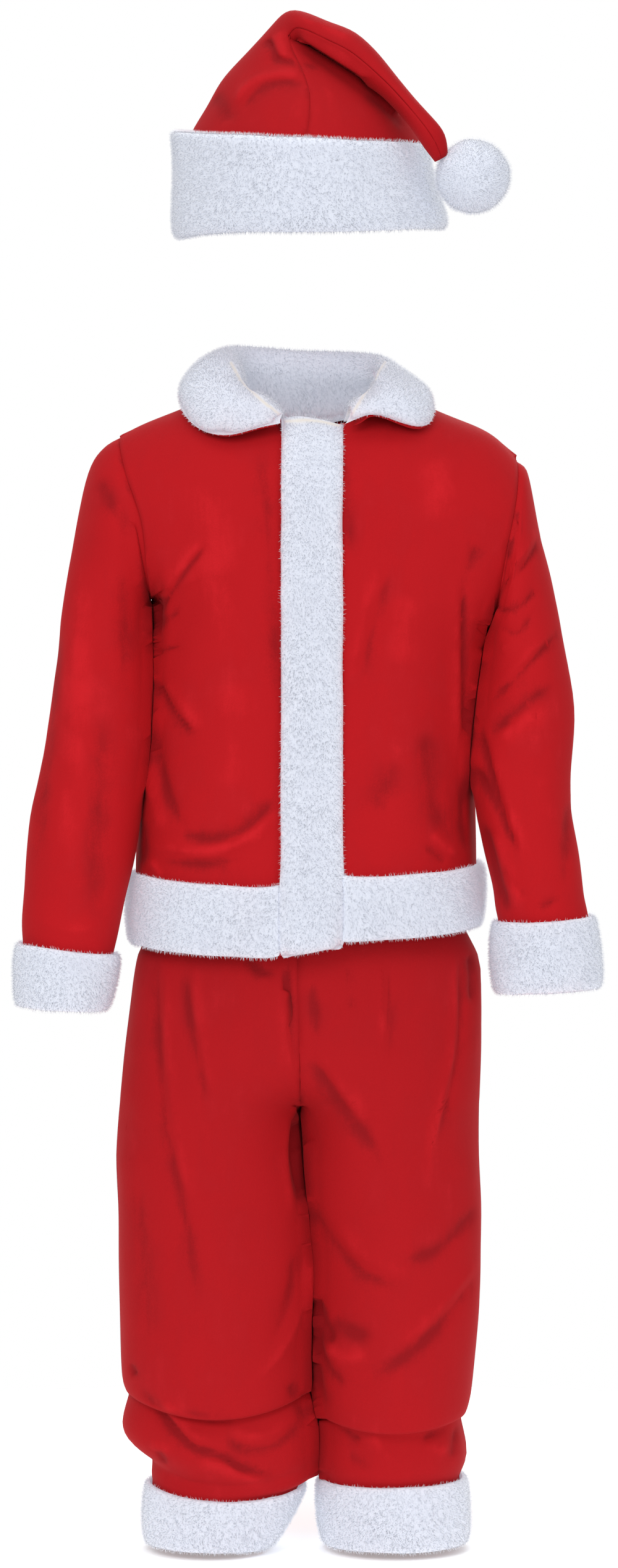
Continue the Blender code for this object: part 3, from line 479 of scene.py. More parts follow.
SLEEVE_LEFT_CREASES = table(
    (((139.5, -43.5), (135.5, -70.5), (129.5, -100)), 4.5, -1.8),
    (((126, -111), (145.5, -94.5), (156.5, -74)), 2.8, -2.2),
    (((127, -103), (144, -87.5), (153, -69)), 3.6, 1.6),
    (((125, -124.5), (142, -122), (154.5, -108)), 2.8, -2.0),
    (((127, -134), (140.5, -141.5), (150.5, -125.5)), 2.6, -1.5),
    (((128, -150.5), (138, -145.5)), 3.0, 1.3),
    (((123.5, -183.5), (145.5, -162), (170.5, -136.5)), 3.4, -2.0),
    (((127, -174), (146.5, -154), (163, -138)), 4.0, 1.5),
    (((121.5, -208.5), (141.5, -188), (164, -174)), 4.0, -1.7),
    (((127, -210.5), (145.5, -197), (161.5, -190.5)), 5.0, 1.3),
    (((114.5, -202), (124, -241), (133, -267)), 3.2, -3.2),
    (((111.5, -227), (127, -260), (141.5, -287.5)), 3.0, -2.8),
    (((121.5, -216), (134.5, -257.5), (148, -295)), 4.0, 2.0),
    (((116.5, -266), (126.5, -302.5), (134, -327.5)), 3.2, -2.8),
    (((124.5, -271), (134, -300), (144, -321)), 3.6, 1.8),
    (((129.5, -296), (146.5, -317)), 2.6, -1.4),
    (((176.5, -249.5), (173, -282.5), (171.5, -312)), 4.0, -1.3),
    (((159, -233), (164, -270)), 8.0, 1.0),
    (((153, -324), (168.5, -316)), 3.0, -1.2),
)
SLEEVE_BACK_CREASES = table(
    (((124, -92), (156, -116)), 6.0, -1.8),
    (((122, -118), (158, -142)), 6.0, 1.7),
    (((120, -176), (168, -196)), 8.0, 1.5),
    (((128, -232), (170, -214)), 7.0, -1.6),
    (((136, -264), (176, -246)), 7.0, 1.5),
    (((146, -300), (160, -330)), 7.0, -1.3),
)
TROUSER_RIGHT_CREASES = table(
    (((-102.5, -356.5), (-102, -428), (-94, -487.5), (-83.5, -531.5), (-73.5, -591.5)), 4.0, -1.7),
    (((-97, -360), (-95, -428), (-87, -487.5), (-76, -531.5)), 5.0, 1.3),
    (((-84, -360.5), (-80.5, -401.5), (-68.5, -455)), 3.4, -1.5),
    (((-78, -360.5), (-73.5, -401.5), (-64, -447)), 4.0, 1.1),
    (((-42, -355), (-35, -365), (-20.5, -368)), 5.0, -2.2),
    (((-15.5, -358.5), (-12.5, -393), (-5.5, -432.5)), 3.8, -3.4),
    (((-21.5, -368), (-18, -401.5), (-11, -442.5)), 4.0, 1.6),
    (((-5.5, -447.5), (-9, -480), (-9, -502.5), (-3.5, -531.5)), 4.2, -5.0),
    (((-12.5, -459), (-15.5, -500.5), (-13, -535.5)), 4.0, 1.2),
    (((1.5, -556.5), (-3.5, -591.5), (-15.5, -621.5), (-40.5, -648.5)), 4.6, 2.0),
    (((-9, -558.5), (-12.5, -591.5), (-25, -620.5)), 5.0, -1.5),
    (((-116, -500.5), (-111, -558.5), (-109, -620.5)), 7.0, -1.0),
    (((-121, -635.5), (-117.5, -643.5)), 3.0, -2.2),
    (
        ((-113.5, -650.5), (-94.5, -672.5), (-79.5, -689), (-61, -692.5), (-45.5, -703.5), (-20, -708.5)),
        3.4,
        -3.4,
    ),
    (((-98.5, -658), (-82.5, -677), (-65.5, -685)), 4.4, 2.0),
    (((-82.5, -664.5), (-64, -670), (-48, -668.5)), 3.0, -2.6),
    (((-75.5, -697.5), (-59.5, -700), (-46.5, -709), (-29, -713)), 4.0, 2.0),
    (((-57, -682.5), (-39.5, -691.5), (-17.5, -687.5), (0, -670)), 4.4, -1.8),
    (((-53, -677.5), (-33, -682.5), (-12.5, -673.5)), 5.0, 1.6),
    (((-12.5, -645.5), (-8.5, -662), (0, -674.5)), 4.0, -1.8),
    (((-102.5, -691.5), (-97, -701.5)), 2.8, -2.2),
    (((-107.5, -687.5), (-92.5, -691)), 3.0, 1.4),
)
TROUSER_LEFT_CREASES = table(
    (((0, -423), (12.5, -443.5), (25.5, -461.5), (50.5, -495.5)), 6.0, -2.3),
    (((5, -418), (21.5, -442.5), (41.5, -471.5)), 6.0, 1.4),
    (((53, -360), (54, -393), (53.5, -429.5)), 2.0, -1.3),
    (((49, -360), (50, -418)), 2.8, 1.2),
    (((98.5, -356.5), (98.5, -413.5), (91.5, -445.5), (83, -480.5), (79.5, -514)), 2.4, 1.8),
    (((102.5, -356.5), (102.5, -413.5), (96, -447), (87.5, -482.5)), 3.2, -1.7),
    (((110, -356.5), (111, -393)), 3.6, -2.6),
    (((2, -372.5), (5, -409.5)), 4.0, -1.6),
    (((25, -360), (27.5, -393)), 4.0, -1.0),
    (((0, -525.5), (12.5, -546), (33, -571.5), (64.5, -579)), 5.0, -1.9),
    (((16.5, -538), (41.5, -563.5), (69.5, -569.5)), 6.0, 1.2),
    (((113.5, -528), (92, -554.5), (62, -562)), 5.0, -1.5),
    (((113.5, -574), (92, -603), (64.5, -627), (36.5, -643.5)), 4.6, -1.9),
    (((113.5, -565), (90, -593), (62, -617)), 5.0, 1.4),
    (((4, -591), (9, -604), (15.5, -621.5)), 4.4, -3.2),
    (((14, -603), (29, -611.5), (44, -613)), 6.0, -1.7),
    (((2.5, -604), (10, -635.5), (25, -648)), 3.4, -2.2),
    (((10, -623), (23, -629.5), (39.5, -624.5)), 4.0, 1.7),
    (((0, -623), (5, -645.5), (12.5, -666)), 4.0, -2.0),
    (((20, -675), (35, -686)), 2.8, -1.9),
    (((41.5, -678.5), (56.5, -700)), 4.0, 1.3),
    (((92.5, -675), (76, -684.5)), 3.4, -1.8),
    (((78.5, -687.5), (94.5, -693.5)), 3.4, 1.3),
    (((25, -695), (41.5, -702.5)), 4.0, -1.1),
    (((100, -678.5), (97.5, -699)), 3.0, -1.4),
)
TROUSER_BACK_CREASES = table(
    (((-98, -360), (-94, -450)), 5.0, 1.8),
    (((-58, -358), (-54, -430)), 5.0, 1.4),
    (((60, -358), (56, -440)), 5.0, 1.6),
    (((96, -358), (92, -460)), 5.0, 1.7),
    (((-12, -450), (-46, -492)), 6.0, -2.2),
    (((12, -446), (48, -488)), 6.0, -2.2),
    (((-20, -476), (-70, -520)), 7.0, 1.7),
    (((20, -470), (68, -514)), 7.0, 1.7),
    (((-16, -590), (-84, -566)), 8.0, -1.6),
    (((22, -584), (90, -604)), 8.0, -1.6),
    (((-20, -612), (-90, -598)), 7.0, 1.5),
    (((24, -616), (92, -632)), 7.0, 1.5),
    (((-110, -690), (-50, -704)), 5.0, 1.8),
    (((24, -694), (84, -702)), 5.0, 1.6),
)
CROWN_CREASES = table(
    (((-30, 261), (-25, 253.5), (-22.5, 242.5)), 2.6, -3.2),
    (((-22.5, 265), (-18, 254), (-13.5, 245)), 3.2, 2.4),
    (((-25.5, 246), (-12.5, 244.5), (8.5, 239.5)), 2.8, -2.6),
    (((-49.5, 216), (-40, 231), (-25, 236.5), (0, 235.5)), 4.0, 2.6),
    (((-44.5, 212), (-35, 225.5), (-22.5, 230), (0, 230)), 4.0, -1.8),
    (((13, 229.5), (15, 213), (18, 196.5)), 1.3, 0.9),
    (((-64, 223.5), (-57, 214.5), (-53, 201)), 6.0, -1.3),
    (((37.5, 223.5), (54, 212), (66.5, 198)), 4.0, -1.8),
    (((-12.5, 211), (8.5, 204.5)), 8.0, 1.0),
    (((-8.5, 275), (12.5, 267.5), (31, 258.5)), 3.4, 1.5),
    (((8.5, 258.5), (25, 247.5), (41.5, 235)), 4.0, 1.4),
    (((58, 223.5), (73, 207), (84.5, 188)), 3.0, 1.2),
    (((68, 213), (78.5, 200.5), (88, 184.5)), 2.6, -1.6),
)
print("creases on the jacket's back:", len(BACK_CREASES), "and on the crown:", len(CROWN_CREASES))

# %% [markdown]
# Two things move a point of cloth: the creases, which are read in the front view, and a gentle waviness
# that all cloth has. Both shells of a wall move the same way, so its thickness stays. A crease fades at its
# ends and its height wavers a little. It has a round bottom and a wide foot, as soft cloth does.

# %% Crease relief
RIM_FADE = 6.0 * MM
NEIGHBOUR_FADE = 4.0 * MM
WAVES = ((60.0 * MM, 1.3 * MM), (24.0 * MM, 0.35 * MM))
UNEVEN = 0.18
ROUND_SHARE = 0.6
FULL_RELIEF = 4.0 * MM
BACK_PAINT_CUT = 0.5


def smooth(values):
    t = np.clip(values, 0.0, 1.0)
    return t * t * (3.0 - 2.0 * t)


def rounded_path(path):
    """A path with its corners cut twice, in metres."""
    points = np.array(path, dtype=float) * MM
    for _ in range(2):
        cut = [points[0]]
        for first, second in zip(points[:-1], points[1:]):
            cut += [first * 0.75 + second * 0.25, first * 0.25 + second * 0.75]
        points = np.array(cut + [points[-1]])
    return points


def from_path(path, x, z):
    """For points of the front view: the distance from a path, and how far along it they are, 0 to 1."""
    steps = np.hypot(*np.diff(path, axis=0).T)
    starts = np.concatenate(([0.0], np.cumsum(steps)))
    nearest = np.full(len(x), np.inf)
    share = np.zeros(len(x))
    for index, length in enumerate(steps):
        run = (path[index + 1] - path[index]) / length
        along = np.clip((x - path[index][0]) * run[0] + (z - path[index][1]) * run[1], 0.0, length)
        away = np.hypot(x - path[index][0] - run[0] * along, z - path[index][1] - run[1] * along)
        closer = away < nearest
        nearest = np.where(closer, away, nearest)
        share = np.where(closer, (starts[index] + along) / starts[-1], share)
    return nearest, share


def crease_relief(creases, x, z):
    """The lift, in metres, that the creases give to points of the front view."""
    total = np.zeros(len(x))
    for number, crease in enumerate(creases):
        off, along = from_path(rounded_path(crease.path), x, z)
        off /= crease.width * MM
        ends = smooth(along / 0.22 + 0.15) * smooth((1.0 - along) / 0.28 + 0.1)
        uneven = 1.0 + UNEVEN * np.sin(9.0 * along + 2.3 * number)
        shape = ROUND_SHARE * np.exp(-off * off) + (1.0 - ROUND_SHARE) * np.exp(-2.2 * off)
        total += crease.height * MM * shape * ends * uneven
    return total


def waviness(points, seed):
    out = np.zeros(len(points))
    for size, height in WAVES:
        for index, point in enumerate(points):
            out[index] += height * noise.noise(Vector(point) / size + Vector((seed, 0.0, 0.0)))
    return out


def wrinkle(thing, away, front, back, seed, others):
    """Moves a piece's points along away, an array of unit vectors, by its creases and waves.

    What the creases do is kept on the points as "relief", for the finish to paint as shade in the troughs
    and as a highlight on the ridges, less on the back.
    """
    mesh = thing.data
    points = coordinates(mesh)
    toward_back = smooth(away[:, 1] * 1.6 + 0.5)
    creased = crease_relief(front, points[:, 0], points[:, 2]) * (1.0 - toward_back)
    creased += crease_relief(back, points[:, 0], points[:, 2]) * toward_back
    free = smooth(rim_distance(mesh, RIM_FADE))
    free *= smooth(distances(points, others, NEIGHBOUR_FADE) / NEIGHBOUR_FADE)
    lift = (creased + waviness(points, seed)) * free
    place_points(mesh, points + away * lift[:, None])
    # The relief is painted as shade in the troughs and as a highlight on the ridges, less on the back.
    shade = mesh.attributes.new("relief", "FLOAT", "POINT")
    marked = creased * free * (1.0 - BACK_PAINT_CUT * toward_back)
    shade.data.foreach_set("value", np.clip(marked / FULL_RELIEF, -1.0, 1.0))


def from_axis(points, axis, squash=(1.0, 1.0)):
    """Unit vectors away from an axis, given as stations (x, y, z) in millimetres from top to bottom."""
    stations = np.array(axis) * MM
    x = np.interp(-points[:, 2], -stations[:, 2], stations[:, 0])
    y = np.interp(-points[:, 2], -stations[:, 2], stations[:, 1])
    out = np.zeros_like(points)
    out[:, 0] = (points[:, 0] - x) / squash[0] ** 2
    out[:, 1] = (points[:, 1] - y) / squash[1] ** 2
    return out / np.maximum(np.linalg.norm(out, axis=1), 1e-9)[:, None]


print("relief ready")

# %% [markdown]
# ## The red cloth
# Each panel is a shell on its own solid, wrinkled away from the middle of the body, sleeve or leg that it
# goes round. The table gives each cut panel's flat size in metres, and how much of that rectangle is cloth.

# %% Panels
CLOTH_LEVELS = 2
LONGEST_EDGE = 8.0 * MM
CREASE_EDGE = 3.6 * MM
BODY_AXIS = ((0, 0, 0), (0, 0, -400))
BODY_SQUASH = (1.45, 1.0)
SLEEVE_RIGHT_AXIS = (
    (-121, 0, -60),
    (-137, -12, -130),
    (-143, -22, -190),
    (-150, -28, -240),
    (-167, -35, -376),
)
SLEEVE_LEFT_AXIS = ((133, 0, -60), (142, -12, -130), (146, -24, -190), (147, -30, -240), (161, -36, -376))
LEG_RIGHT_AXIS = ((-62, 0, -290), (-64, 0, -560), (-60, 0, -650), (-68, 0, -770))
LEG_LEFT_AXIS = ((56, 0, -290), (60, 0, -560), (58, 0, -650), (58, 0, -770))
CROWN_AXIS = ((0, -5, 260), (2, 0, 127))

Panel = namedtuple("Panel", "node flat cut_share front back axis seed squash", defaults=((1, 1),))
PANELS = (
    Panel("jacket_front_right", (0.17, 0.40), 0.9, JACKET_RIGHT_CREASES, (), BODY_AXIS, 1, BODY_SQUASH),
    Panel("jacket_front_left", (0.19, 0.39), 0.88, JACKET_LEFT_CREASES, (), BODY_AXIS, 2, BODY_SQUASH),
    Panel("jacket_back", (0.33, 0.40), 0.88, (), BACK_CREASES, BODY_AXIS, 3, BODY_SQUASH),
    Panel("sleeve_right", (0.26, 0.39), 0.76, SLEEVE_RIGHT_CREASES, (), SLEEVE_RIGHT_AXIS, 4),
    Panel("sleeve_left", (0.25, 0.37), 0.74, SLEEVE_LEFT_CREASES, SLEEVE_BACK_CREASES, SLEEVE_LEFT_AXIS, 5),
    Panel("trouser_front_right", (0.21, 0.52), 0.78, TROUSER_RIGHT_CREASES, (), LEG_RIGHT_AXIS, 6),
    Panel("trouser_front_left", (0.20, 0.52), 0.79, TROUSER_LEFT_CREASES, (), LEG_LEFT_AXIS, 7),
    Panel("trouser_back_right", (0.21, 0.52), 0.78, (), TROUSER_BACK_CREASES, LEG_RIGHT_AXIS, 8),
    Panel("trouser_back_left", (0.20, 0.52), 0.79, (), TROUSER_BACK_CREASES, LEG_LEFT_AXIS, 9),
    Panel("hat_crown_right", (0.30, 0.24), 0.59, CROWN_CREASES, (), CROWN_AXIS, 10),
    Panel("hat_crown_left", (0.30, 0.24), 0.55, CROWN_CREASES, (), CROWN_AXIS, 11),
)
print("panels:", len(PANELS))

# %% [markdown]
# Some stretches need help. Cloth inside a cuff is drawn up so that no edge peeps out, the cloth at the crotch
# lies calm, and the hat's tail lies on the crown in front with no slit between them.

# %% Tucks, calm cloth and the tail's fold
TUCK = 4.0 * MM
TUCK_REACH = 14.0 * MM
CALM_ROUNDS = 25
CALM_FADE = 12.0 * MM
CALM_STEP = 0.6
CROTCH_STRETCH = (-420.0, -500.0)
Fold = namedtuple("Fold", "x1 z1 x2 z2 reach")
TAIL_FOLD = Fold(-2.0, 258.0, 34.0, 234.5, 3.5)
FOLD_FADE = 0.2
FOLD_BACK = -6.0 * MM
FOLD_BACK_FADE = 10.0 * MM


def tuck_in(thing):
    """Draws the lowest cut edge up, so that it stays out of sight inside its fur cuff."""
    points = coordinates(thing.data)
    near_rim = 1.0 - smooth(rim_distance(thing.data, TUCK_REACH))
    low = smooth((points[:, 2].min() + TUCK_REACH * 2 - points[:, 2]) / TUCK_REACH)
    points[:, 2] += TUCK * near_rim * low
    place_points(thing.data, points)


def calm(thing, top, bottom, others):
    """Evens out a stretch of cloth between two heights, away from its seams."""
    mesh = thing.data
    points = coordinates(mesh)
    ends = np.empty(len(mesh.edges) * 2, dtype=np.int64)
    mesh.edges.foreach_get("vertices", ends)
    first, second = ends.reshape(-1, 2).T
    count = np.bincount(ends, minlength=len(points))[:, None]
    held = smooth((top * MM - points[:, 2]) / CALM_FADE) * smooth((points[:, 2] - bottom * MM) / CALM_FADE)
    held = (held * smooth(distances(points, others, RIM_FADE * 2) / RIM_FADE - 0.5))[:, None]
    for _ in range(CALM_ROUNDS):
        total = np.zeros_like(points)
        np.add.at(total, first, points[second])
        np.add.at(total, second, points[first])
        points += held * CALM_STEP * (total / count - points)
    place_points(mesh, points)


def pinch(thing, fold):
    """Brings the cloth on both sides of a line of the front view together, in the front half only."""
    points = coordinates(thing.data)
    start = np.array((fold.x1, fold.z1)) * MM
    run = np.array((fold.x2, fold.z2)) * MM - start
    length = np.hypot(*run)
    run /= length
    across = np.array((-run[1], run[0]))
    from_start = points[:, (0, 2)] - start
    along = from_start @ run / length
    off = from_start @ across
    held = smooth(1.8 - np.abs(off) / (fold.reach * MM))
    held *= smooth(along / FOLD_FADE + 1.0) * smooth((1.0 - along) / FOLD_FADE + 1.0)
    held *= smooth((FOLD_BACK - points[:, 1]) / FOLD_BACK_FADE)
    points[:, (0, 2)] -= (off * held)[:, None] * across
    place_points(thing.data, points)


print("tucks ready")

# %% [markdown]
# Corners are rounded off by the subdivision. On the front, the collar's and the placket's are pulled to where
# they hang. At the shoulders, where three panels meet, they are drawn together so that no hole is left.

# %% Corners
Corner = namedtuple("Corner", "x z move_x move_z reach tuck", defaults=(0,))
CORNERS = {
    "under_collar": (Corner(-19.0, 8.0, -2.0, -1.0, 8.0, 3.0), Corner(27.0, 8.0, 5.5, -1.0, 9.0, 3.0)),
    "collar_fur": (
        Corner(-19.0, 12.0, 1.5, -5.0, 9.0),
        Corner(-38.0, 28.0, -1.0, -3.0, 9.0),
        Corner(28.0, 0.0, -6.0, -2.5, 6.0),
        Corner(36.0, 30.0, 5.0, -2.0, 11.0),
    ),
    "placket": (Corner(-18.0, 6.0, 0.0, -2.0, 6.0), Corner(21.0, 6.0, 0.0, -4.0, 8.0)),
}
CORNER_REACH = 6.0 * MM
CORNER_PULL = 0.95
SHOULDER_SLOPE = 0.4
HIGH_FIRST = 0.5


def stretch_corners(thing, corners):
    """Pulls corners on the front of a piece to where they hang; tuck moves one back, out of sight."""
    points = coordinates(thing.data)
    for corner in corners:
        off = np.hypot(points[:, 0] - corner.x * MM, points[:, 2] - corner.z * MM) / (corner.reach * MM)
        held = np.exp(-(off**2)) * (points[:, 1] < 0.0)
        points += held[:, None] * np.array((corner.move_x, corner.tuck, corner.move_z)) * MM
    place_points(thing.data, points)


def shoulder_ends():
    """Where a shoulder seam meets its armhole, on each side, and the way the cloth faces there."""
    ends = []
    for front, sleeve in (("jacket_front_right", "sleeve_right"), ("jacket_front_left", "sleeve_left")):
        trees = [solids_tree("jacket_back"), solids_tree(sleeve)]
        places = [vert.co.copy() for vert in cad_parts[front].data.vertices]
        away = [sum(tree.find_nearest(place)[3] for tree in trees) - HIGH_FIRST * place.z for place in places]
        spot = places[int(np.argmin(away))]
        outward = Vector((math.copysign(SHOULDER_SLOPE, spot.x), 0.0, 1.0)).normalized()
        ends.append((np.array(spot), np.array(outward)))
    return ends


def close_corners(thing, ends):
    """Draws the rounded corners of the panels that meet at the shoulders together, along the cloth."""
    points = coordinates(thing.data)
    for spot, outward in ends:
        gap = spot - points
        near = np.linalg.norm(gap, axis=1) < 3 * CORNER_REACH
        gap -= (gap @ outward)[:, None] * outward
        held = CORNER_PULL * near * smooth(1.6 - np.linalg.norm(gap, axis=1) / CORNER_REACH)
        points += held[:, None] * gap
    place_points(thing.data, points)


SHOULDER_ENDS = shoulder_ends()
print("shoulder ends:", [tuple(np.round(spot, 3)) for spot, outward in SHOULDER_ENDS])

# %% [markdown]
# Panels that are sewn together meet at a seam, so each goes half of the way to the other. Cloth that only
# leans, arm on body and leg on leg, is drawn closer as well, and is painted darker there as painted shade.

# %% Seams and leaning cloth
SEAM_REACH = 1.0 * MM
LEAN_REACH = 11.0 * MM
LEAN_LOWEST = -248.0 * MM
LEAN_FADE = 14.0 * MM
LEGS_TOP = -380.0 * MM
FACING = 0.35
FACING_FADE = 0.3
HALF_WAY = 0.5


def close_seams(thing, others):
    """Draws a panel towards what it is sewn to and what it leans on: others, the other panels' tree."""
    points = coordinates(thing.data)
    normals = vertex_normals(thing.data)
    shade = thing.data.attributes["relief"].data
    from_rim = smooth(rim_distance(thing.data, RIM_FADE))
    for index, point in enumerate(points):
        nearest, _, _, gap = others.find_nearest(Vector(point), LEAN_REACH)
        if nearest is None:
            continue
        step = np.array(nearest) - point
        facing = float(normals[index] @ step) / max(gap, 1e-9)
        lean = smooth((facing - FACING) / FACING_FADE)
        if point[2] > LEGS_TOP:
            lean *= smooth((point[2] - LEAN_LOWEST) / LEAN_FADE + 0.5)
        if gap < SEAM_REACH:
            lean = 1.0
        elif point[2] < 0.0:
            # Painted shade: where cloth leans on cloth, its relief is made darker.
            shade[index].value -= lean * (1.0 - gap / LEAN_REACH) * from_rim[index]
        points[index] += step * HALF_WAY * lean
    place_points(thing.data, points)


print("seams ready")

# %% Make the cloth
SIDE_DEPTH = 5.0 * MM
BESIDE = 1.3


def finish_piece(thing, node):
    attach(thing, "root")
    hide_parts(node)


def surface(mesh):
    return sum(face.area for face in mesh.polygons)


def beside_creases(places, front, back):
    """Which places lie beside a crease of their own side, front or back."""
    near = np.zeros(len(places), dtype=bool)
    for creases, side in ((front, places[:, 1] < SIDE_DEPTH), (back, places[:, 1] > -SIDE_DEPTH)):
        for crease in creases:
            off = from_path(rounded_path(crease.path), places[:, 0], places[:, 2])[0]
            near |= side & (off < BESIDE * crease.width * MM)
    return near


def mirrored(creases):
    return tuple(crease._replace(path=tuple((-x, z) for x, z in crease.path)) for crease in creases)


for panel in PANELS:
    cloth = fitted_copy(panel.node, panel.node + "_cloth", CLOTH_LEVELS)
    split_long_edges(cloth.data, LONGEST_EDGE)
    back = mirrored(SLEEVE_BACK_CREASES) if panel.node == "sleeve_right" else panel.back
    split_long_edges(cloth.data, CREASE_EDGE, lambda places: beside_creases(places, panel.front, back))
    others = solids_tree(*(other.node for other in PANELS if other.node != panel.node))
    if panel.node.startswith("trouser"):
        calm(cloth, *CROTCH_STRETCH, others)
    away = from_axis(coordinates(cloth.data), panel.axis, panel.squash)
    wrinkle(cloth, away, panel.front, back, panel.seed, others)
    close_seams(cloth, others)
    close_corners(cloth, SHOULDER_ENDS)
    if panel.axis != BODY_AXIS:
        tuck_in(cloth)
    if panel.axis == CROWN_AXIS:
        pinch(cloth, TAIL_FOLD)
    # The hat and the trousers take the velour copy with more painted shade.
    cloth.data.materials.append(VELOUR_SHADED if panel.node.startswith(("hat", "trouser")) else VELOUR)
    finish_piece(cloth, panel.node)
    cut_area = panel.cut_share * panel.flat[0] * panel.flat[1]
    print(panel.node, "area", round(surface(cloth.data) / 2, 4), "cut", round(cut_area, 4))

# %% [markdown]
# The under collar is the red cloth below the fur collar. It is cut like the fur, and only its edge shows.

# %% Make the under collar
UNDER_COLLAR_FLAT = (0.36, 0.09)
UNDER_COLLAR_CUT = 0.8

under = fitted_copy("under_collar", "under_collar_cloth", CLOTH_LEVELS)
stretch_corners(under, CORNERS["under_collar"])
under.data.materials.append(VELOUR)
finish_piece(under, "under_collar")
print("under_collar area", round(surface(under.data) / 2, 4))
cut_area = UNDER_COLLAR_CUT * UNDER_COLLAR_FLAT[0] * UNDER_COLLAR_FLAT[1]

# %% [markdown]
# ## Fur
# A fur band is a knitted ground with a dense pile. The ground is a shell a little smaller than the band's
# solid, gently lumpy, and the pile is thousands of short tapered locks on the side that shows. Geometry Nodes
# scatter them, because it is one rule repeated: stand up from the ground, lean along it with the neighbours,
# and vary in length.

# %% Lock scatter
LOCK_SIDES = 3
LOCK_SIZES = (0.7, 1.1)
STRAY = 0.5
SWIRL_SCALE = 45.0
CLUMP_SCALE = 240.0
PILE_INPUTS = {
    "Ground": "Geometry",
    "Locks per square metre": "Float",
    "Length": "Float",
    "Thickness": "Float",
    "Swirl": "Float",
    "Clumping": "Float",
    "Droop": "Float",
    "Seed": "Int",
    "Finish": "Material",
}


def pile_tree():
    """Geometry Nodes that cover a ground with locks. Its inputs are their number, size, lean and seed."""
    group = bpy.data.node_groups.new("pile", "GeometryNodeTree")
    for name, kind in PILE_INPUTS.items():
        group.interface.new_socket(name=name, in_out="INPUT", socket_type="NodeSocket" + kind)
    group.interface.new_socket(name="Pile", in_out="OUTPUT", socket_type="NodeSocketGeometry")
    nodes = group.nodes
    links = group.links
    given = nodes.new("NodeGroupInput")
    result = nodes.new("NodeGroupOutput")

    def node(kind, settings=None, **values):
        """Any node: i0 and i1 name a socket by its number."""
        made = nodes.new(kind)
        for key, value in (settings or {}).items():
            setattr(made, key, value)
        for key, value in values.items():
            key = key.replace("_", " ")
            socket = made.inputs[int(key[1:])] if key[1:].isdigit() else made.inputs[key]
            if isinstance(value, bpy.types.NodeSocket):
                links.new(value, socket)
            else:
                socket.default_value = value
        return made

    def maths(operation, first, second):
        return node("ShaderNodeMath", {"operation": operation}, i0=first, i1=second).outputs[0]

    def vectors(operation, first, second):
        return node("ShaderNodeVectorMath", {"operation": operation}, i0=first, i1=second).outputs[0]

    grows = node("GeometryNodeInputNamedAttribute", {"data_type": "FLOAT"}, Name="grows").outputs[0]
    density = maths("MULTIPLY", given.outputs["Locks per square metre"], grows)
    points = node(
        "GeometryNodeDistributePointsOnFaces",
        {"distribute_method": "RANDOM"},
        Mesh=given.outputs["Ground"],
        Density=density,
        Seed=given.outputs["Seed"],
    )
    kept = node(
        "GeometryNodeStoreNamedAttribute",
        {"data_type": "FLOAT_VECTOR", "domain": "POINT"},
        Geometry=points.outputs["Points"],
        Name="lie",
        Value=points.outputs["Normal"],
    ).outputs[0]
    place = node("GeometryNodeInputPosition").outputs[0]

    def drift(scale, strength):
        """A lean that changes over the ground, so that neighbours lean alike."""
        field = node("ShaderNodeTexNoise", {"noise_dimensions": "3D"}, Vector=place, Scale=scale, Detail=1.0)
        centred = vectors("SUBTRACT", field.outputs["Color"], (0.5, 0.5, 0.5))
        return node("ShaderNodeVectorMath", {"operation": "SCALE"}, i0=centred, Scale=strength).outputs[0]

    swirl = drift(SWIRL_SCALE, given.outputs["Swirl"])
    swirl = vectors("ADD", swirl, drift(CLUMP_SCALE, given.outputs["Clumping"]))
    stray = node("FunctionNodeRandomValue", {"data_type": "FLOAT_VECTOR"}, Seed=3)
    stray.inputs[0].default_value = (-STRAY, -STRAY, -STRAY)
    stray.inputs[1].default_value = (STRAY, STRAY, STRAY)
    droop = node("ShaderNodeCombineXYZ", None, Z=maths("MULTIPLY", given.outputs["Droop"], -1.0)).outputs[0]
    lean = vectors("ADD", vectors("ADD", swirl, stray.outputs[0]), droop)
    away = points.outputs["Normal"]
    inward = node("ShaderNodeVectorMath", {"operation": "DOT_PRODUCT"}, i0=lean, i1=away).outputs["Value"]
    inward = node("ShaderNodeVectorMath", {"operation": "SCALE"}, i0=away, Scale=inward).outputs[0]
    heading = vectors("ADD", away, vectors("SUBTRACT", lean, inward))
    turn = node("FunctionNodeAlignRotationToVector", {"axis": "Z"}, Vector=heading).outputs[0]
    lock = node(
        "GeometryNodeMeshCone",
        {"fill_type": "NGON"},
        Vertices=LOCK_SIDES,
        Radius_Top=0.0,
        Radius_Bottom=given.outputs["Thickness"],
        Depth=given.outputs["Length"],
    ).outputs["Mesh"]
    position = node("GeometryNodeInputPosition").outputs[0]
    height = node("ShaderNodeSeparateXYZ", None, Vector=position).outputs["Z"]
    share = maths("DIVIDE", height, given.outputs["Length"])
    stored = {"data_type": "FLOAT", "domain": "POINT"}
    lock = node("GeometryNodeStoreNamedAttribute", stored, Geometry=lock, Name="tip", Value=share).outputs[0]
    size = node("FunctionNodeRandomValue", {"data_type": "FLOAT"}, Seed=7)
    size.inputs[2].default_value = LOCK_SIZES[0]
    size.inputs[3].default_value = LOCK_SIZES[1]
    copies = {"Points": kept, "Instance": lock, "Rotation": turn, "Scale": size.outputs[1]}
    made = node("GeometryNodeInstanceOnPoints", None, **copies).outputs[0]
    made = node("GeometryNodeRealizeInstances", None, Geometry=made).outputs[0]
    made = node("GeometryNodeSetMaterial", None, Geometry=made, Material=given.outputs["Finish"]).outputs[0]
    links.new(made, result.inputs[0])
    return group


PILE_TREE = pile_tree()
print("pile tree:", len(PILE_TREE.nodes), "nodes")

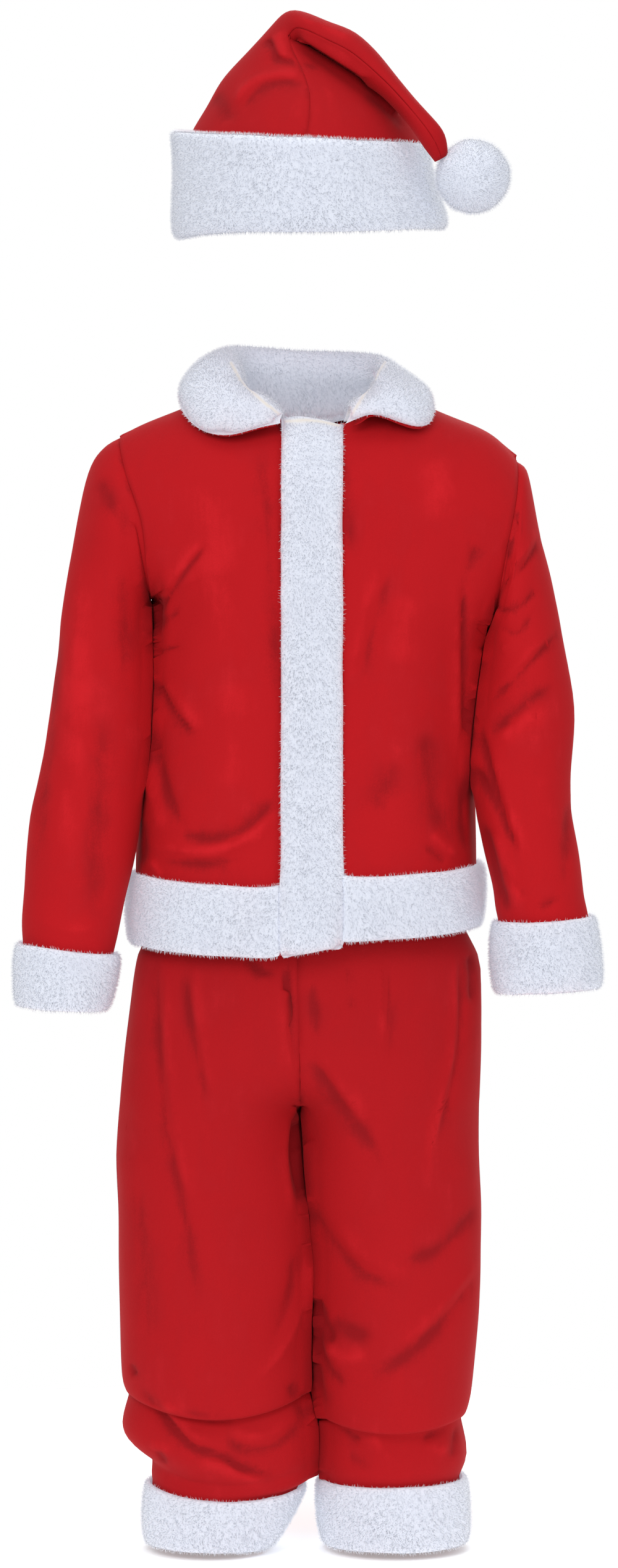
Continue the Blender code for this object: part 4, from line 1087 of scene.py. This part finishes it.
# %% Growing pile on a ground
LOCKS_PER_M2 = 640000.0
LOCK_THICKNESS = 0.22 * MM
CLUMPING = 1.6
CUT_EDGE = 0.6
LIFT_OFF = 0.05 * MM


def grow_pile(ground, name, length, swirl, droop, seed):
    """A plain mesh of locks on a ground, scattered by the pile tree."""
    pile = ground.copy()
    pile.data = ground.data.copy()
    bpy.context.scene.collection.objects.link(pile)
    scatter = pile.modifiers.new("pile", "NODES")
    scatter.node_group = PILE_TREE
    wanted = {
        "Locks per square metre": LOCKS_PER_M2,
        "Length": length,
        "Thickness": LOCK_THICKNESS,
        "Swirl": swirl,
        "Clumping": CLUMPING,
        "Droop": droop,
        "Seed": seed,
        "Finish": FUR_PILE,
    }
    for item in PILE_TREE.interface.items_tree:
        if item.name in wanted:
            scatter[item.identifier] = wanted[item.name]
    mesh = evaluated(pile)
    mesh.name = name
    mesh.shade_smooth()
    bpy.data.objects.remove(pile)
    return add_piece(name, mesh)


def mark_growth(ground, covers, reach):
    """Stores on each face whether pile grows: not where cloth covers it within reach, nor on a cut edge."""
    mesh = ground.data
    grows = mesh.attributes.new("grows", "FLOAT", "FACE")
    cream = mesh.attributes["cream"].data if "cream" in mesh.attributes else None
    values = []
    for face in mesh.polygons:
        start = face.center + face.normal * LIFT_OFF
        hidden = any(tree.ray_cast(start, face.normal, reach)[0] is not None for tree in covers)
        cut = max(cream[index].value for index in face.vertices) if cream else 0.0
        values.append(0.0 if hidden or cut > CUT_EDGE else 1.0)
    grows.data.foreach_set("value", values)


print("pile grower ready")

# %% [markdown]
# The bands differ only in what they lie on and how long their pile is. The table gives both, each band's
# flat size in metres, and how near a cloth must lie to hide the ground from the pile.

# %% Fur table
Fur = namedtuple("Fur", "node on flat length inset droop seed cover", defaults=(4.0,))
JACKET_PANELS = ("jacket_front_left", "jacket_front_right", "jacket_back")
FURS = (
    Fur("hat_brim", ("hat_crown_left", "hat_crown_right"), (0.62, 0.08), 2.8, 1.9, 0.3, 21),
    Fur("collar_fur", ("under_collar",), (0.36, 0.09), 2.6, 1.7, 0.35, 22, 1.2),
    Fur("placket", ("jacket_front_left", "jacket_front_right"), (0.045, 0.37), 2.6, 1.7, 0.45, 23),
    Fur("hem_band", JACKET_PANELS, (0.60, 0.055), 2.7, 1.8, 0.35, 24),
    Fur("sleeve_cuff_right", ("sleeve_right",), (0.23, 0.053), 2.7, 1.8, 0.35, 25),
    Fur("sleeve_cuff_left", ("sleeve_left",), (0.23, 0.053), 2.7, 1.8, 0.35, 26),
    Fur("leg_cuff_right", ("trouser_front_right", "trouser_back_right"), (0.34, 0.055), 2.7, 1.8, 0.35, 27),
    Fur("leg_cuff_left", ("trouser_front_left", "trouser_back_left"), (0.34, 0.055), 2.7, 1.8, 0.35, 28),
)
SWIRL = 2.2
print("fur bands:", len(FURS))

# %% [markdown]
# The ground is drawn in by about half of the pile's length, so that the tips end where the solid ends. It is
# lumpy, and softened so that no corner stays sharp. The brim has a groove along its seam and the left sleeve
# cuff one across it. The placket and the hem band run into each other, so they are not drawn in there.

# %% Drawing the ground in
JOINED = {"placket": ("hem_band",), "hem_band": ("placket",)}
JOIN_REACH = 4.0 * MM
BRIM_GROOVE = table((((-96, 180), (-40, 178), (30, 177), (88, 175)), 3.0, -1.3))
CUFF_SEAM = table((((147, -320), (146, -345), (148, -372)), 1.8, -1.2))
GROOVES = {"hat_brim": BRIM_GROOVE, "sleeve_cuff_left": CUFF_SEAM}
LUMPS = ((26.0 * MM, 0.9 * MM), (10.0 * MM, 0.25 * MM))
SOFTEN_ROUNDS = 4


def draw_in(thing, inset, seed, joined, grooves):
    """Draws a fur ground in along its normals, unevenly, but not where it meets the fur it is joined to."""
    mesh = thing.data
    points = coordinates(mesh)
    normals = vertex_normals(mesh)
    depth = np.full(len(points), inset)
    for size, height in LUMPS:
        for index, point in enumerate(points):
            depth[index] -= height * noise.noise(Vector(point) / size + Vector((0.0, seed, 0.0)))
    downward = smooth(-normals[:, 2] * 2.0)
    for tree in joined:
        depth *= np.maximum(smooth(distances(points, tree, JOIN_REACH) / JOIN_REACH), downward)
    depth -= crease_relief(grooves, points[:, 0], points[:, 2]) * (points[:, 1] < 0.0)
    place_points(mesh, points - normals * depth[:, None])
    soft = bmesh.new()
    soft.from_mesh(mesh)
    every_way = {"use_axis_x": True, "use_axis_y": True, "use_axis_z": True}
    for _ in range(SOFTEN_ROUNDS):
        bmesh.ops.smooth_vert(soft, verts=soft.verts, factor=0.5, **every_way)
    soft.to_mesh(mesh)
    soft.free()


print("grounds ready")

# %% [markdown]
# Where the fur is cut and turned, along the collar's opening and the placket's top, its cream knitted backing
# shows as a thin line. It is marked on the ground's points, and no pile grows on it.

# %% Cream edges
CREAM_EDGES = {
    "collar_fur": (((-52.0, 44.0), (-41.0, 26.0), (-17.0, 7.5)), ((54.0, 48.0), (40.0, 29.0), (22.0, 0.0))),
    "placket": (((-19.0, 4.5), (0.0, 6.0), (21.0, 1.5)),),
}
CREAM_WIDTH = 1.2 * MM
CREAM_LEAST = 0.02


def mark_cream(thing, edges):
    """Marks the cut edges where the cream backing of the fur shows, on the front."""
    split_long_edges(thing.data, CREASE_EDGE / 2, lambda places: cream_shares(places, edges) > CREAM_LEAST)
    shares = cream_shares(coordinates(thing.data), edges)
    thing.data.attributes.new("cream", "FLOAT", "POINT").data.foreach_set("value", shares)


def cream_shares(places, edges):
    shares = np.zeros(len(places))
    for edge in edges:
        off = from_path(rounded_path(edge), places[:, 0], places[:, 2])[0]
        shares = np.maximum(shares, np.exp(-((off / CREAM_WIDTH) ** 2)))
    return shares * (places[:, 1] < 0.0)


print("cream edges:", sum(len(edges) for edges in CREAM_EDGES.values()))

# %% Make the fur
for fur in FURS:
    ground = fitted_copy(fur.node, fur.node + "_ground", CLOTH_LEVELS, sharp_rims=False)
    stretch_corners(ground, CORNERS.get(fur.node, ()))
    if fur.node in CREAM_EDGES:
        mark_cream(ground, CREAM_EDGES[fur.node])
    joined = [solids_tree(node) for node in JOINED.get(fur.node, ())]
    draw_in(ground, fur.inset * MM, fur.seed, joined, GROOVES.get(fur.node, ()))
    mark_growth(ground, [solids_tree(node) for node in fur.on], fur.cover * MM)
    pile = grow_pile(ground, fur.node + "_pile", fur.length * MM, SWIRL, fur.droop, fur.seed)
    ground.data.materials.append(FUR_GROUND)
    finish_piece(ground, fur.node)
    finish_piece(pile, fur.node)
    print(fur.node, "area", round(surface(ground.data) / 2, 4), "pile faces", len(pile.data.polygons))

# %% [markdown]
# ## The pompom
# A pompom is a ball of cut yarn, tied in the middle, so its locks stand straight out from a small core.

# %% Pompom
low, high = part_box("pompom")
POMPOM_CENTRE = (Vector(low) + Vector(high)) / 2
POMPOM_BALL = 24.0 * MM
POMPOM_LOCK = 3.2 * MM
POMPOM_LUMP = (11.0 * MM, 0.8 * MM)
POMPOM_SWIRL = 2.0
POMPOM_DROOP = 0.05
POMPOM_SEED = 31

ball = bmesh.new()
bmesh.ops.create_icosphere(ball, subdivisions=5, radius=POMPOM_BALL)
for vert in ball.verts:
    lump = POMPOM_LUMP[1] * noise.noise(vert.co / POMPOM_LUMP[0])
    vert.co = vert.co * (1.0 + lump / POMPOM_BALL) + POMPOM_CENTRE
mesh = bpy.data.meshes.new("pompom_core")
ball.to_mesh(mesh)
ball.free()
core = add_piece("pompom_core", mesh)
core.data.shade_smooth()
mark_growth(core, [solids_tree("hat_crown_right"), solids_tree("hat_crown_left")], POMPOM_LOCK)
tufts = grow_pile(core, "pompom_tufts", POMPOM_LOCK, POMPOM_SWIRL, POMPOM_DROOP, POMPOM_SEED)
core.data.materials.append(FUR_GROUND)
for piece in (core, tufts):
    finish_piece(piece, "pompom")
print("pompom faces:", len(tufts.data.polygons))

# %% [markdown]
# ## The waistband
# It is hidden under the jacket. Its solid keeps its shape and takes a ribbed red cloth, with painted shade
# in the grooves between the ribs.

# %% Waistband finish
WAIST_RIBS = 210.0
RIB_HEIGHT = 0.8 * MM

elastic = Finish("red ribbed elastic", Roughness=0.8, Specular_IOR_Level=0.2)
spot = elastic.node("ShaderNodeTexCoord", {}, {}, out="Object")
wave = {"Vector": spot, "Scale": WAIST_RIBS, "Distortion": 1.0}
ribs = elastic.node("ShaderNodeTexWave", {"bands_direction": "X"}, wave)
# Painted shade: the grooves between the ribs are darker red.
colour = elastic.mix(ribs, RED_DEEP, RED_MIDDLE)
ridge = elastic.node("ShaderNodeBump", {}, {"Strength": 0.5, "Distance": RIB_HEIGHT, "Height": ribs})
elastic.fill(elastic.shader, {"Base Color": colour, "Normal": ridge})
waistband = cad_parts["waistband"]
waistband.data.materials.clear()
waistband.data.materials.append(elastic.material)
print("waistband finished")

# %% [markdown]
# ## Floor and light
# The floor is a pale plain disc, lit up from inside like a light table, just under the leg cuffs. Wide, soft
# lamps in front and a bright surround give gentle shading with no hard shadow.

# %% Floor
FLOOR_GAP = 1.0 * MM
FLOOR_RADIUS = 0.75
FLOOR_GLOW = 0.3
FLOOR_WHITE = (0.95, 0.95, 0.95, 1.0)

disc = bmesh.new()
floor_z = cad_box[0][2] - FLOOR_GAP
place = Matrix.Translation((0.0, 0.0, floor_z))
bmesh.ops.create_circle(disc, cap_ends=True, segments=96, radius=FLOOR_RADIUS, matrix=place)
floor_mesh = bpy.data.meshes.new("floor")
disc.to_mesh(floor_mesh)
disc.free()
floor_finish = Finish("pale floor", Base_Color=FLOOR_WHITE, Roughness=0.9, Specular_IOR_Level=0.05)
floor_finish.shader.inputs["Emission Color"].default_value = (1.0, 1.0, 1.0, 1.0)
floor_finish.shader.inputs["Emission Strength"].default_value = FLOOR_GLOW
floor = add_piece("floor", floor_mesh)
floor.data.materials.append(floor_finish.material)
print("floor at", round(floor_z, 4))

# %% [markdown]
# The key lamp is high on the left, the fill lamp low on the right, and weaker ones above and behind keep the
# outline clear of the pale surround. The surround is seen as white, and lights the suit a little less.

# %% Lights
SURROUND_LIGHT = 0.62
Lamp = namedtuple("Lamp", "name place size power")
LAMPS = (
    Lamp("key", (-0.9, -2.8, 1.3), 1.4, 34.0),
    Lamp("fill", (1.2, -3.0, -0.1), 1.8, 20.0),
    Lamp("top", (0.0, -0.6, 2.2), 1.6, 12.0),
    Lamp("back", (0.4, 2.6, 1.0), 1.8, 30.0),
)
for lamp in LAMPS:
    data = bpy.data.lights.new(lamp.name, "AREA")
    data.shape = "SQUARE"
    data.size = lamp.size
    data.energy = lamp.power
    light = bpy.data.objects.new(lamp.name, data)
    light.location = lamp.place
    light.rotation_euler = (VIEW_CENTRE - Vector(lamp.place)).to_track_quat("-Z", "Y").to_euler()
    bpy.context.scene.collection.objects.link(light)

world = bpy.data.worlds.new("surround")
world.use_nodes = True
surround = world.node_tree.nodes["Background"]
surround.inputs["Color"].default_value = (1.0, 1.0, 1.0, 1.0)
seen = world.node_tree.nodes.new("ShaderNodeLightPath")
strength = world.node_tree.nodes.new("ShaderNodeMapRange")
strength.inputs["To Min"].default_value = SURROUND_LIGHT
strength.inputs["To Max"].default_value = 1.0
world.node_tree.links.new(seen.outputs["Is Camera Ray"], strength.inputs["Value"])
world.node_tree.links.new(strength.outputs[0], surround.inputs["Strength"])
bpy.context.scene.world = world
bpy.context.scene.view_settings.view_transform = "Standard"
print("lamps:", len(LAMPS))
